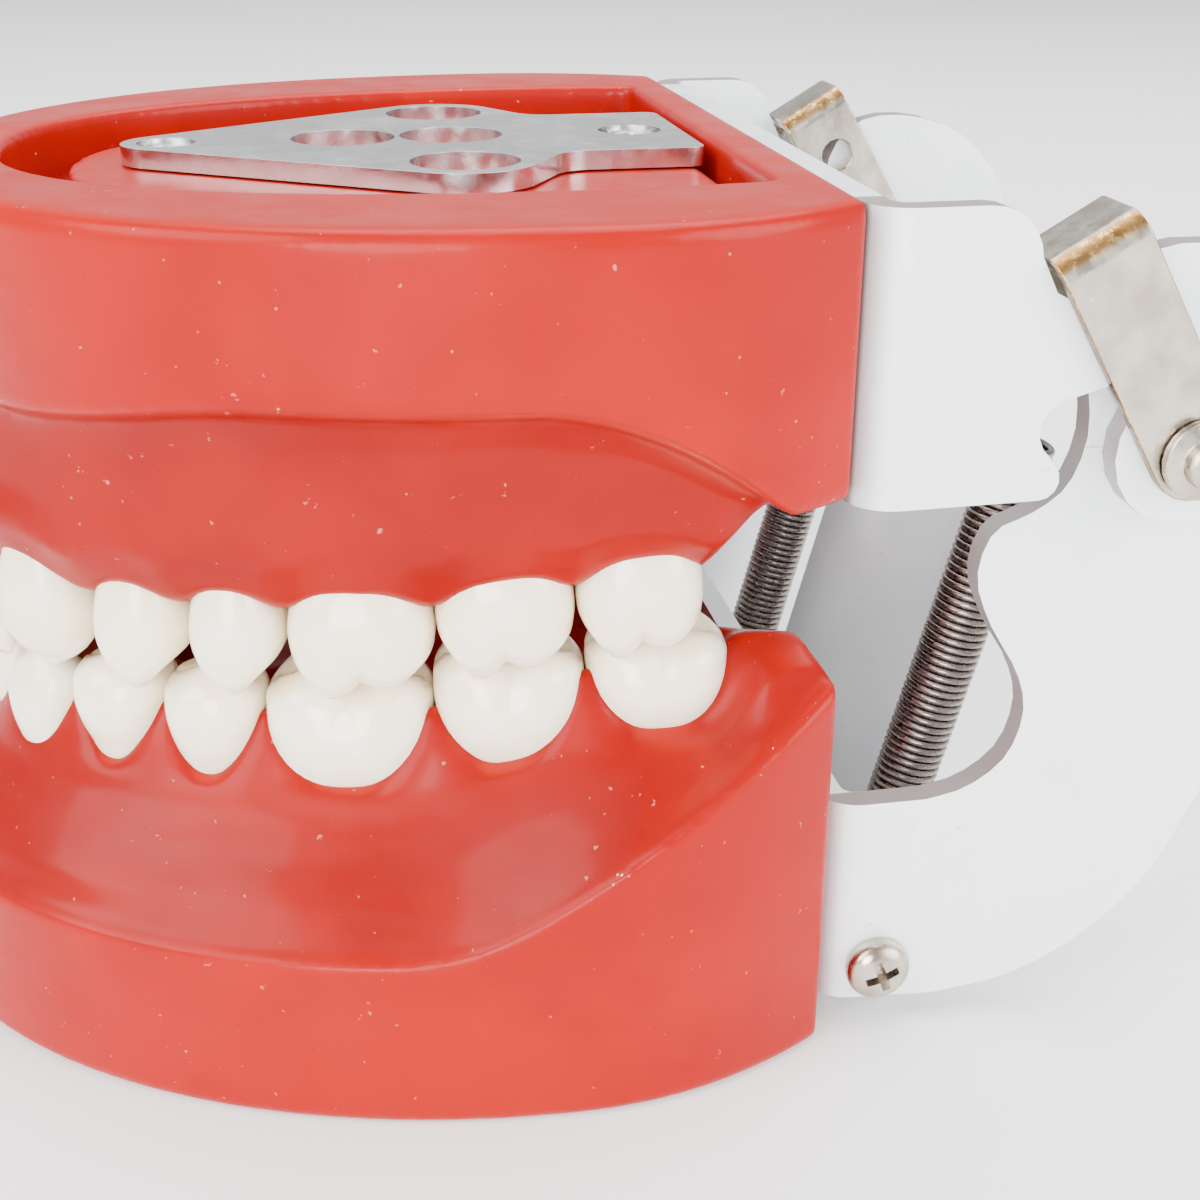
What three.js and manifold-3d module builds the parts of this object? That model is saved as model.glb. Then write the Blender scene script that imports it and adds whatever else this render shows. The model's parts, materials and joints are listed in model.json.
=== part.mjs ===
// A typodont: an upper and a lower gum base with removable teeth, joined behind by a sprung hinge frame.
// Millimetres. +X is the model's own left, +Y its rear and +Z up. Pieces are drawn with the rear faces
// of the gum bases at y = 0, and the whole group is then moved to the centre of its footprint.
import * as THREE from "three";
import { mergeVertices } from "three/addons/utils/BufferGeometryUtils.js";
import Module from "manifold-3d";

const wasm = await Module();
wasm.setup();

// ---- driving dimensions -------------------------------------------------------------------------
const FRONT_REACH = 70; // lower base in front of its rear face
const REAR_REACH = 37; // lower bracket behind that face
const RIM_TOP = 64.3;
const GAP = 0.3; // between pieces that would touch
const SHEET = 2; // bracket steel

const LOWER_CHEEK_OUT = 31.2; // outer face of the lower bracket's cheeks
const UPPER_CHEEK_OUT = 33.5; // outer face of the upper bracket's cheeks
const WEB_FRONT = GAP; // both brackets' webs lie on the bases' rear faces
const BEND = 3; // outside radius of the sheet bends

const HINGE = { y: 23.8, z: 46.6 }; // axis of both hinge rivets
const RIVET_R = 2;

const ROD = { y: 5, z: 5.2, r: 1.5 }; // lower spring rod
const SPRING_X = 20.5;
const SPRING_TILT = THREE.MathUtils.degToRad(14.7); // rearward lean of the springs
const SPRING_LENGTH = 45.5; // from the lower rod's level to the upper rod's
const SPRING_OFFSET = 2.7; // coil axis behind the lower rod
const COIL_R = 2.5;
const COIL_START = 4.2;
const COIL_END = 40.4;
const STEM_SUNK = 6; // part of the upper hook's stem inside the coil
const EYE_R = 1.8; // inside of the wire eyes
const WIRE = 0.65;
const UPPER_ROD = {
  y: ROD.y + SPRING_LENGTH * Math.sin(SPRING_TILT) + SPRING_OFFSET * Math.cos(SPRING_TILT),
  z: ROD.z + SPRING_LENGTH * Math.cos(SPRING_TILT) - SPRING_OFFSET * Math.sin(SPRING_TILT),
  r: 1.2,
};

const CLIP_LEAN = THREE.MathUtils.degToRad(30.5); // forward lean of the clips when locked
const CLIP_REACH = 17.6; // hinge axis to the outside of the clip's bridge
const CLIP_WIDTH = 6.4;
const CLIP_SHEET = 1;

const PLATE_THICK = 1.4;
const PLATE_HOLES = [
  { x: 0, y: -44.2, r: 2.2 },
  { x: 0, y: -31, r: 4 },
  { x: 0, y: -22.7, r: 4 },
  { x: 12.2, y: -22.9, r: 4 },
  { x: -12.2, y: -22.9, r: 4 },
  { x: 0, y: -8.6, r: 2.5 },
];
const PLATE_SCREWS = { front: PLATE_HOLES[0].y, rear: PLATE_HOLES[5].y };

// ---- materials ----------------------------------------------------------------------------------
const standard = (color, roughness, metalness) =>
  new THREE.MeshStandardMaterial({ color, roughness, metalness });
const GUM = standard(0xdb3d28, 0.22, 0);
const TOOTH = standard(0xf1ebdb, 0.25, 0);
const BRACKET = standard(0xdde4e6, 0.35, 0.6);
const NICKEL = standard(0xa79e90, 0.25, 1);
const SPRING_STEEL = standard(0x6b625a, 0.3, 1);
const PLATE_STEEL = standard(0xc9ced0, 0.25, 1);

// ---- solids -------------------------------------------------------------------------------------
function solid(geometry) {
  const bare = geometry.index ? geometry.toNonIndexed() : geometry.clone();
  bare.deleteAttribute("normal");
  bare.deleteAttribute("uv");
  const merged = mergeVertices(bare, 1e-4);
  return new wasm.Manifold(
    new wasm.Mesh({
      numProp: 3,
      vertProperties: merged.attributes.position.array,
      triVerts: new Uint32Array(merged.index.array),
    }),
  );
}

function geometryOf(manifold) {
  const mesh = manifold.getMesh();
  const geometry = new THREE.BufferGeometry();
  geometry.setAttribute("position", new THREE.BufferAttribute(new Float32Array(mesh.vertProperties), 3));
  geometry.setIndex(new THREE.BufferAttribute(new Uint32Array(mesh.triVerts), 1));
  geometry.computeVertexNormals();
  return geometry;
}

const union = (pieces) => pieces.map(solid).reduce((whole, piece) => whole.add(piece));
const cutAll = (body, tools) => tools.reduce((left, tool) => left.subtract(solid(tool)), body);

function box(x, y, z) {
  const size = [x, y, z].map(([low, high]) => high - low);
  const middle = [x, y, z].map(([low, high]) => (low + high) / 2);
  return new THREE.BoxGeometry(...size).translate(...middle);
}

// An outline of [x, y] points, extruded from z = low to z = high.
function slab(outline, low, high, holes = []) {
  const shape = new THREE.Shape(outline.map(([x, y]) => new THREE.Vector2(x, y)));
  for (const hole of holes) {
    shape.holes.push(new THREE.Path().absarc(hole.x, hole.y, hole.r, 0, 2 * Math.PI, true));
  }
  const options = { depth: high - low, bevelEnabled: false, curveSegments: 10 };
  return new THREE.ExtrudeGeometry(shape, options).translate(0, 0, low);
}

// Turns a slab so that its outline is read as [y, z] and its thickness runs along X.
const SIDEWAYS = new THREE.Matrix4().makeBasis(
  new THREE.Vector3(0, 1, 0),
  new THREE.Vector3(0, 0, 1),
  new THREE.Vector3(1, 0, 0),
);
const sideSlab = (outline, low, high) => slab(outline, low, high).applyMatrix4(SIDEWAYS);

function cylinderX(y, z, r, low, high, sides = 20) {
  return new THREE.CylinderGeometry(r, r, high - low, sides)
    .rotateZ(Math.PI / 2)
    .translate((low + high) / 2, y, z);
}

function arc(cx, cy, r, from, to, steps) {
  return Array.from({ length: steps + 1 }, (_, i) => {
    const a = THREE.MathUtils.degToRad(from + ((to - from) * i) / steps);
    return [cx + r * Math.cos(a), cy + r * Math.sin(a)];
  });
}

const circle = (cx, cy, r, sides = 20) => arc(cx, cy, r, 0, 360 - 360 / sides, sides - 1);

function smoothstep(from, to, value) {
  return THREE.MathUtils.smoothstep(value, from, to);
}

// ---- dental arches ------------------------------------------------------------------------------
const UPPER_ARCH = { half: 26.8, depth: 54, centreY: -8, power: 2.35 };
const LOWER_ARCH = { half: 26, depth: 56, centreY: -6, power: 2.3 };

// Each tooth's width along the arch, thickness across it, outer face's distance outside the arch line,
// crown height and root length.
const TOOTH_SIZES = {
  upper: [
    { name: "central_incisor", width: 8.6, thick: 5.4, face: 3.2, crown: 9.4, root: 4 },
    { name: "lateral_incisor", width: 6.8, thick: 5, face: 3, crown: 8.9, root: 4 },
    { name: "canine", width: 7.7, thick: 7, face: 4, crown: 9.2, root: 4.5 },
    { name: "first_premolar", width: 7.1, thick: 9, face: 4, crown: 7.6, root: 4 },
    { name: "second_premolar", width: 6.8, thick: 9, face: 4.2, crown: 7.5, root: 4 },
    { name: "first_molar", width: 10.4, thick: 11, face: 4.4, crown: 7.3, root: 4 },
    { name: "second_molar", width: 9.9, thick: 10.8, face: 4.2, crown: 7, root: 4 },
    { name: "third_molar", width: 9.1, thick: 10, face: 4.4, crown: 7, root: 3 },
  ],
  lower: [
    { name: "central_incisor", width: 5.8, thick: 5, face: 0.8, crown: 7.4, root: 4 },
    { name: "lateral_incisor", width: 6.3, thick: 5.2, face: 0.9, crown: 7.4, root: 4 },
    { name: "canine", width: 7.2, thick: 6.8, face: 2.6, crown: 8.2, root: 4.5 },
    { name: "first_premolar", width: 7.3, thick: 7.8, face: 3.4, crown: 6.2, root: 4 },
    { name: "second_premolar", width: 7.4, thick: 8.2, face: 3.8, crown: 6.8, root: 4 },
    { name: "first_molar", width: 12.2, thick: 10.4, face: 4.2, crown: 8.3, root: 4 },
    { name: "second_molar", width: 11, thick: 10.2, face: 4.2, crown: 7.9, root: 4 },
    { name: "third_molar", width: 10.4, thick: 9.8, face: 4.4, crown: 6.8, root: 3 },
  ],
};
const CONTACT_GAP = 0.3;
const BITE_GAP = 0.4;

// Height of the biting plane, which curves up towards the rear.
const biteHeight = (y) => 30.4 + 3.1 * smoothstep(-38, -14, y);

// The point at angle a on the left half of a superellipse, from 90 degrees at the front to 0 at the side.
function archPoint({ half, depth, centreY, power }, a) {
  return new THREE.Vector2(
    half * Math.abs(Math.cos(a)) ** (2 / power),
    centreY - depth * Math.abs(Math.sin(a)) ** (2 / power),
  );
}

// The angles on an arch at which the given distances along it, from the front, are reached.
function anglesAt(arch, distances) {
  const STEPS = 4000;
  const angle = (i) => (Math.PI / 2) * (1 - i / STEPS);
  let travelled = 0;
  let step = 0;
  return distances.map((goal) => {
    while (travelled < goal && step < STEPS) {
      travelled += archPoint(arch, angle(step)).distanceTo(archPoint(arch, angle(step + 1)));
      step += 1;
    }
    return angle(step);
  });
}

// Where each tooth of the left side stands: its middle, and the way its row runs there.
function toothPlaces(arch, sizes) {
  const starts = sizes.map((_, i) => sizes.slice(0, i).reduce((sum, size) => sum + size.width, 0));
  const angles = anglesAt(arch, sizes.map((size, i) => starts[i] + size.width / 2));
  return sizes.map((size, i) => {
    const ahead = archPoint(arch, angles[i] + 0.02);
    const along = archPoint(arch, angles[i] - 0.02).sub(ahead).normalize();
    const out = new THREE.Vector2(along.y, -along.x);
    const centre = archPoint(arch, angles[i]).addScaledVector(out, size.face - size.thick / 2);
    return { ...size, x: centre.x, y: centre.y, turn: Math.atan2(along.y, along.x) };
  });
}

// ---- D-shaped outlines of the jaws --------------------------------------------------------------
const TOOTH_STEPS = 3;
const SIDE_STEPS = 4;
const REAR_STEPS = 4;

// Rays across the left side of an arch, front to rear, each with a wave that is 1 between two teeth
// and falls towards 0 at the middle of each.
function archRays(arch, sizes) {
  const marks = [];
  let start = 0;
  for (const { width } of sizes) {
    for (let i = 0; i < TOOTH_STEPS; i++) {
      const share = i / TOOTH_STEPS;
      marks.push({ at: start + width * share, wave: Math.cos(Math.PI * share) ** 2 });
    }
    start += width;
  }
  const angles = anglesAt(arch, [...marks.map((mark) => mark.at), start]);
  return angles.map((angle, i) => {
    const ahead = archPoint(arch, Math.min(angle + 0.02, Math.PI / 2));
    const along = archPoint(arch, angle - 0.02).sub(ahead).normalize();
    const out = new THREE.Vector2(i === 0 ? 0 : along.y, i === 0 ? -1 : -along.x);
    const from = archPoint(arch, angle).addScaledVector(out, -6);
    return { from, out, wave: i < marks.length ? marks[i].wave : 1 };
  });
}

// Half the width of a D-shaped plan at y: a superellipse in front of centreY, then sides that close in
// to rearHalf at rearY.
function halfAt({ half, depth, centreY, power, rearHalf, rearY }, y) {
  if (y > centreY) {
    const s = (y - centreY) / (rearY - centreY);
    return rearHalf + (half - rearHalf) * (1 - s * s);
  }
  const t = (centreY - y) / depth;
  return t < 1 ? half * (1 - t ** power) ** (1 / power) : -1;
}

// Where a ray leaves a plan.
function leavingPoint(plan, { from, out }) {
  let inside = 0;
  let outside = 40;
  for (let i = 0; i < 30; i++) {
    const middle = (inside + outside) / 2;
    const spot = from.clone().addScaledVector(out, middle);
    if (Math.abs(spot.x) < halfAt(plan, spot.y)) inside = middle;
    else outside = middle;
  }
  return inside;
}

// A plan's outline seen from above, anticlockwise, as [x, y, wave]. tuck draws it in between teeth.
function jawOutline(plan, rays, tuck = 0) {
  const left = rays.map((ray) => {
    const spot = ray.from.clone().addScaledVector(ray.out, leavingPoint(plan, ray) - tuck * ray.wave);
    return [spot.x, spot.y, ray.wave];
  });
  const lastY = left.at(-1)[1];
  for (let i = 1; i <= SIDE_STEPS; i++) {
    const y = lastY + ((plan.rearY - lastY) * i) / SIDE_STEPS;
    left.push([halfAt(plan, y) - tuck, y, 1]);
  }
  const right = left.slice(1).reverse().map(([x, y, wave]) => [-x, y, wave]);
  const corner = left.at(-1)[0];
  const rear = [];
  for (let i = 1; i < REAR_STEPS; i++) {
    rear.push([corner * (1 - (2 * i) / REAR_STEPS), plan.rearY, 1]);
  }
  return [...right, ...left, ...rear];
}

// The outline of a plan without teeth.
function plainOutline(plan) {
  const rays = Array.from({ length: 13 }, (_, i) => {
    const angle = (Math.PI * i) / 24;
    const out = new THREE.Vector2(Math.sin(angle), -Math.cos(angle));
    return { from: new THREE.Vector2(0, plan.centreY), out, wave: 1 };
  });
  return jawOutline(plan, rays);
}

// An outline lifted to a height, given as a number or as a function of y, the wave and x.
const ring = (outline, height) =>
  outline.map(([x, y, wave]) => [x, y, typeof height === "function" ? height(y, wave, x) : height]);

// Closed skin through anticlockwise rings of equal length, listed from bottom to top.
function loft(rings) {
  const count = rings[0].length;
  const middle = (points) => points[0].map((_, k) => points.reduce((sum, p) => sum + p[k], 0) / count);
  const vertices = [...rings.flat(), middle(rings[0]), middle(rings.at(-1))];
  const bottom = vertices.length - 2;
  const top = vertices.length - 1;
  const last = (rings.length - 1) * count;
  const faces = [];
  for (let i = 0; i < count; i++) {
    const next = (i + 1) % count;
    faces.push(bottom, next, i, top, last + i, last + next);
    for (let row = 0; row < last; row += count) {
      faces.push(row + i, row + next, row + count + next);
      faces.push(row + i, row + count + next, row + count + i);
    }
  }
  const geometry = new THREE.BufferGeometry();
  geometry.setAttribute("position", new THREE.Float32BufferAttribute(vertices.flat(), 3));
  geometry.setIndex(faces);
  return geometry;
}

// ---- teeth --------------------------------------------------------------------------------------
const TOOTH_SIDES = 10;

// Cross-sections as [height share, width share, thickness share, shift towards the lips as a share].
const MOLAR_PROFILE = [
  [0, 0.8, 0.82, 0],
  [0.4, 0.96, 1, 0.02],
  [0.72, 1, 0.96, 0],
  [0.98, 0.84, 0.66, 0],
];
const CANINE_PROFILE = [
  [0, 0.76, 0.86, 0],
  [0.4, 0.94, 1, 0.03],
  [0.75, 0.96, 0.62, 0.08],
  [1, 0.3, 0.22, 0.1],
];
const INCISOR_PROFILE = [
  [0, 0.76, 0.9, 0],
  [0.4, 0.92, 0.98, 0.03],
  [0.75, 1, 0.6, 0.1],
  [1, 0.96, 0.24, 0.16],
];

const profileOf = (name) =>
  name.includes("incisor") ? INCISOR_PROFILE : name.includes("canine") ? CANINE_PROFILE : MOLAR_PROFILE;

// A tooth standing on its neck at z = 0, its outer face towards -Y, with a root peg below.
// grow makes the same shape larger all round, to cut its socket.
function toothShape(tooth, grow = 0) {
  const width = tooth.width - CONTACT_GAP;
  const section = (z, wide, thick, shift) =>
    Array.from({ length: TOOTH_SIDES }, (_, i) => {
      const a = (2 * Math.PI * i) / TOOTH_SIDES;
      const square = 0.8;
      const across = Math.sign(Math.cos(a)) * Math.abs(Math.cos(a)) ** square;
      const deep = Math.sign(Math.sin(a)) * Math.abs(Math.sin(a)) ** square;
      return [
        (wide / 2 + grow) * across,
        (thick / 2 + grow) * deep - shift * tooth.thick,
        z,
      ];
    });
  const rings = [section(-tooth.root - grow, width * 0.45, tooth.thick * 0.45, 0)];
  for (const [high, wide, thick, shift] of profileOf(tooth.name)) {
    rings.push(section(high * tooth.crown, width * wide, tooth.thick * thick, shift));
  }
  return loft(rings);
}

// Puts a tooth's shape on its place: lower teeth stand up and upper teeth hang down.
function placeTooth(geometry, tooth, upper) {
  const bite = biteHeight(tooth.y);
  const overlap = tooth.name.includes("incisor") ? 1.2 : tooth.name === "canine" ? 0.8 : 0;
  if (upper) {
    geometry.rotateY(Math.PI);
    geometry.translate(0, 0, tooth.crown + bite + BITE_GAP / 2 - overlap);
  } else {
    geometry.translate(0, 0, bite - BITE_GAP / 2 - tooth.crown);
  }
  return geometry.rotateZ(tooth.turn).translate(tooth.x, tooth.y, 0);
}

function mirrored(geometry) {
  const flipped = geometry.index ? geometry.toNonIndexed() : geometry.clone();
  flipped.scale(-1, 1, 1);
  const p = flipped.attributes.position.array;
  for (let i = 0; i < p.length; i += 9) {
    for (let k = 0; k < 3; k++) [p[i + 3 + k], p[i + 6 + k]] = [p[i + 6 + k], p[i + 3 + k]];
  }
  return flipped;
}

const UPPER_TEETH = toothPlaces(UPPER_ARCH, TOOTH_SIZES.upper);
const LOWER_TEETH = toothPlaces(LOWER_ARCH, TOOTH_SIZES.lower);
const UPPER_RAYS = archRays(UPPER_ARCH, TOOTH_SIZES.upper);
const LOWER_RAYS = archRays(LOWER_ARCH, TOOTH_SIZES.lower);

function sockets(teeth, upper) {
  const left = teeth.map((tooth) => placeTooth(toothShape(tooth, GAP), tooth, upper));
  return [...left, ...left.map(mirrored)];
}

// ---- gum bases ----------------------------------------------------------------------------------
const RECESS = { half: 25.5, depth: 40, centreY: -16, power: 2.3, rearHalf: 24.5, rearY: -3.6 };
const ISLAND = { half: 20.6, depth: 35.4, centreY: -16, power: 2.3, rearHalf: 19.6, rearY: -5 };
const RECESS_DEPTH = 1.8;
const MOAT_DEPTH = 5;

// The shallow recess of a base's outer face, with a deeper channel round the island under the plate.
// level is the outer face's height, and inward is the way into the base: -1 for the upper one.
function recessTools(level, inward) {
  const span = (from, to) => [level + inward * from, level + inward * to].sort((a, b) => a - b);
  const pocket = slab(plainOutline(RECESS), ...span(-1, RECESS_DEPTH));
  const channel = solid(slab(plainOutline(RECESS), ...span(RECESS_DEPTH - 0.5, MOAT_DEPTH)));
  const island = solid(slab(plainOutline(ISLAND), ...span(-2, MOAT_DEPTH + 1)));
  return [pocket, geometryOf(channel.subtract(island))];
}

const SCREW_BORE = 1.6;
const plateBores = (low, high) =>
  Object.values(PLATE_SCREWS).map((y) => slab(circle(0, y, SCREW_BORE, 14), low, high));

const WEB_SCREW_X = { upper: 17, lower: 22 };
const WEB_SCREW_Z = { upper: 55.4, lower: 11.5 };
const webBores = (jaw) =>
  [-1, 1].map((sign) =>
    new THREE.CylinderGeometry(SCREW_BORE, SCREW_BORE, 16, 14)
      .translate(sign * WEB_SCREW_X[jaw], 0, WEB_SCREW_Z[jaw]),
  );

const mix = (low, high, share) => (...at) => low(...at) + (high(...at) - low(...at)) * share;

// Heights on the lower base: the top of its upright band, the gum line, which dips at each tooth and
// rises at the rear, and the crest of the ridge.
const lowerBorder = (y) => Math.min(30.2, 13.5 + 0.62 * Math.max(0, y + 27));
const lowerRear = (y, x) => 0.5 * Math.max(0, 29 - Math.abs(x)) * smoothstep(-4, -1.5, y);
const lowerBand = (y, wave, x) => lowerBorder(y) - lowerRear(y, x);
const lowerNeck = (y) => 22.5 + 3.7 * smoothstep(-32, -10, y);
const lowerMargin = (y, wave, x) =>
  Math.max(lowerBorder(y) + 0.9, lowerNeck(y) + 4.8 * wave + 1.2 * smoothstep(-9, -2, y)) - lowerRear(y, x);
const lowerCrest = (y, wave, x) => 28.6 + 3 * smoothstep(-32, -10, y) - lowerRear(y, x);

const LOWER_WALL = { half: 38.5, depth: FRONT_REACH - 18, centreY: -18, power: 2, rearHalf: 33, rearY: 0 };
const UPPER_WALL = { half: 38.2, depth: 46, centreY: -16, power: 2.2, rearHalf: 33, rearY: 0 };

function lowerBase() {
  const level = (plan, height, tuck) => ring(jawOutline(plan, LOWER_RAYS, tuck), height);
  const rings = [
    level({ ...LOWER_WALL, half: 38, depth: 51.5, rearHalf: 32.6 }, 0),
    level(LOWER_WALL, 0.6),
    level(LOWER_WALL, lowerBand),
    level(
      { half: 35.4, depth: 50.8, centreY: -17, power: 2.1, rearHalf: 31.8, rearY: -0.4 },
      mix(lowerBand, lowerMargin, 0.3),
    ),
    level(
      { half: 31.8, depth: 54.6, centreY: -9, power: 2.25, rearHalf: 30.8, rearY: -0.8 },
      mix(lowerBand, lowerMargin, 0.8),
    ),
    level(
      { half: 29.6, depth: 54.2, centreY: -8, power: 2.3, rearHalf: 29.4, rearY: -1.2 },
      lowerMargin,
      1.6,
    ),
    level({ half: 27, depth: 52.5, centreY: -8, power: 2.3, rearHalf: 26.6, rearY: -1.8 }, lowerCrest),
  ];
  const tongueRoom = (half, depth) => ({ half, depth, centreY: -8, power: 2.3, rearHalf: half, rearY: 2 });
  const tongue = loft([
    ring(plainOutline(tongueRoom(17.5, 41)), 13),
    ring(plainOutline(tongueRoom(19.4, 44)), 24),
    ring(plainOutline(tongueRoom(20.6, 46.5)), 40),
  ]);
  const tools = [
    tongue,
    ...recessTools(0, 1),
    ...plateBores(-1, 9),
    ...webBores("lower"),
    ...sockets(LOWER_TEETH, false),
  ];
  return geometryOf(cutAll(solid(loft(rings)), tools));
}

// Heights on the upper base, likewise: its gum line rises at each tooth.
const upperBand = (y) =>
  52.9 - 2.6 * smoothstep(38, 58, -y) - 0.038 * Math.max(0, Math.min(y, -4.7) + 22) ** 1.9;
const upperRear = (y) => 7 * smoothstep(-9.5, -4, y);
const upperNeck = (y) => 37.6 + 2.2 * smoothstep(-32, -10, y) + 1.4 * smoothstep(50, 62, -y);
const upperMargin = (y, wave) => upperNeck(y) + 0.4 - 1.8 * wave + upperRear(y);
const upperCrest = (y) => 36 + 1.8 * smoothstep(-32, -10, y) + upperRear(y);

function upperBase() {
  const level = (plan, height, tuck) => ring(jawOutline(plan, UPPER_RAYS, tuck), height);
  const rings = [
    level({ half: 28, depth: 53.6, centreY: -8, power: 2.35, rearHalf: 27.6, rearY: -1 }, upperCrest),
    level({ half: 30.6, depth: 56.6, centreY: -8, power: 2.35, rearHalf: 30, rearY: -0.7 }, upperMargin, 1),
    level(
      { half: 32.2, depth: 57.2, centreY: -8, power: 2.35, rearHalf: 31.4, rearY: -0.5 },
      mix(upperMargin, upperBand, 0.25),
    ),
    level(
      { half: 33.4, depth: 54.5, centreY: -8, power: 2.3, rearHalf: 32, rearY: -0.3 },
      mix(upperMargin, upperBand, 0.7),
    ),
    level(
      { ...UPPER_WALL, half: 36.8, depth: 45, rearHalf: 32.4, rearY: -0.1 },
      (y) => upperBand(y) - 0.3,
    ),
    level(UPPER_WALL, upperBand),
    level(UPPER_WALL, RIM_TOP - 0.7),
    level({ ...UPPER_WALL, half: 37.5, depth: 45.3, rearHalf: 32.4 }, RIM_TOP),
  ];
  const vaultRoom = (half, depth) => ({ half, depth, centreY: -8, power: 2.3, rearHalf: half, rearY: 2 });
  const vault = loft([
    ring(plainOutline(vaultRoom(21.4, 49.4)), 28),
    ring(plainOutline(vaultRoom(20.6, 48)), 38),
    ring(plainOutline(vaultRoom(17, 43)), 46),
    ring(plainOutline(vaultRoom(10, 35)), 50),
  ]);
  const tools = [
    vault,
    ...recessTools(RIM_TOP, -1),
    ...plateBores(RIM_TOP - 9, RIM_TOP + 1),
    ...webBores("upper"),
    ...sockets(UPPER_TEETH, true),
  ];
  return geometryOf(cutAll(solid(loft(rings)), tools));
}

// ---- mounting plates ----------------------------------------------------------------------------
// Half of the kite-shaped outline, from the front tip to the tail, on the left side.
const PLATE_HALF = [
  ...arc(0, -44, 3.6, -90, -35, 4),
  ...arc(12.2, -22.9, 5.4, -42, 70, 8),
  ...arc(12.6, -13.4, 3.2, -110, -180, 4),
  ...arc(8.4, -5.6, 1, 0, 90, 3),
];

function mountingPlate(low) {
  const right = PLATE_HALF.slice(1).reverse().map(([x, y]) => [-x, y]);
  return slab([...PLATE_HALF, ...right], low, low + PLATE_THICK, PLATE_HOLES);
}

// ---- brackets -----------------------------------------------------------------------------------
// A web and its two bends, cut to a U when seen from above, between two heights.
function channelWeb(cheekOut, low, high) {
  const bendAt = cheekOut - BEND;
  const y = WEB_FRONT + BEND;
  const outside = [...arc(-bendAt, y, BEND, 180, 270, 6), ...arc(bendAt, y, BEND, 270, 360, 6)];
  const inner = BEND - SHEET;
  const inside = [...arc(bendAt, y, inner, 360, 270, 6), ...arc(-bendAt, y, inner, 270, 180, 6)];
  return slab([...outside, ...inside], low, high);
}

const JOIN = 0.1; // overlap of pieces of one sheet
const CHEEK_FRONT = WEB_FRONT + BEND - JOIN;

// The lower cheek as [y, z]: round under the throat, up the neck, over the hinge head, down the back.
const LOWER_CHEEK = [
  [8, 19.5], [11.2, 20.3], [14, 22.6], [15, 26.2], [14.1, 29.6], [11.8, 33.4], [10.4, 37.2],
  [11.3, 40.6], [14, 41.9], [16.4, 43.8], [17.5, 47.5], [17, 52], [17.6, 57], [20.6, 60], [26, 60.2],
  [31.5, 58], [35.6, 53], [REAR_REACH, 46.6], [36.7, 40], [35.5, 33], [33.4, 25.5], [30.4, 18.3],
  [27.4, 11.8], [24.2, 7.8], [20.3, 4.7], [15.6, 2.6], [10, 1.8],
];
const LOWER_WEB = { low: 2.2, high: 19.5 };

function cheekOutline() {
  const curve = new THREE.SplineCurve(LOWER_CHEEK.map(([y, z]) => new THREE.Vector2(y, z)));
  const around = curve.getPoints(68).map((p) => [p.x, p.y]);
  return [[CHEEK_FRONT, LOWER_WEB.low], [CHEEK_FRONT, LOWER_WEB.high], ...around].reverse();
}

const onBothSides = (make) => [make(-1), make(1)];
// The X range of a layer between two distances from the middle plane, on one side.
const layer = (sign, inner, outer) => (sign > 0 ? [inner, outer] : [-outer, -inner]);

const CHEEK_BORE = RIVET_R + 0.2;
const ROD_SCREW_BORE = 1.6;

function webScrewHoles(jaw) {
  return [-1, 1].map((sign) =>
    new THREE.CylinderGeometry(SCREW_BORE, SCREW_BORE, 8, 14)
      .translate(sign * WEB_SCREW_X[jaw], WEB_FRONT + 1, WEB_SCREW_Z[jaw]),
  );
}

function lowerBracket() {
  const outline = cheekOutline();
  const cheeks = onBothSides((sign) =>
    sideSlab(outline, ...layer(sign, LOWER_CHEEK_OUT - SHEET, LOWER_CHEEK_OUT)),
  );
  const body = union([channelWeb(LOWER_CHEEK_OUT, LOWER_WEB.low, LOWER_WEB.high), ...cheeks]);
  const reach = LOWER_CHEEK_OUT + 1;
  return geometryOf(
    cutAll(body, [
      cylinderX(HINGE.y, HINGE.z, CHEEK_BORE, -reach, reach),
      cylinderX(ROD.y, ROD.z, ROD_SCREW_BORE, -reach, reach, 14),
      ...webScrewHoles("lower"),
    ]),
  );
}

const UPPER_WEB = { low: 43.6, high: 63.8 };
const LUG = { inner: 15, outer: 17, low: 45, high: 51.6 };
const LOBE_R = 5.3;

// The upper cheek as [y, z]: under edge, relief notch, arm, round lobe on the hinge, shoulder.
const UPPER_CHEEK = [
  [CHEEK_FRONT, UPPER_WEB.low],
  ...arc(13.2, UPPER_WEB.low + 1.5, 1.4, -90, 20, 4),
  ...arc(15.1, 48.6, 2.3, -125, -270, 7),
  [17.6, 51.6],
  ...arc(HINGE.y, HINGE.z, LOBE_R, -212, 62, 15),
  [13, 58],
  ...arc(8, UPPER_WEB.high - 3.8, 3.8, 5, 90, 6),
  [CHEEK_FRONT, UPPER_WEB.high],
];

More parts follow.
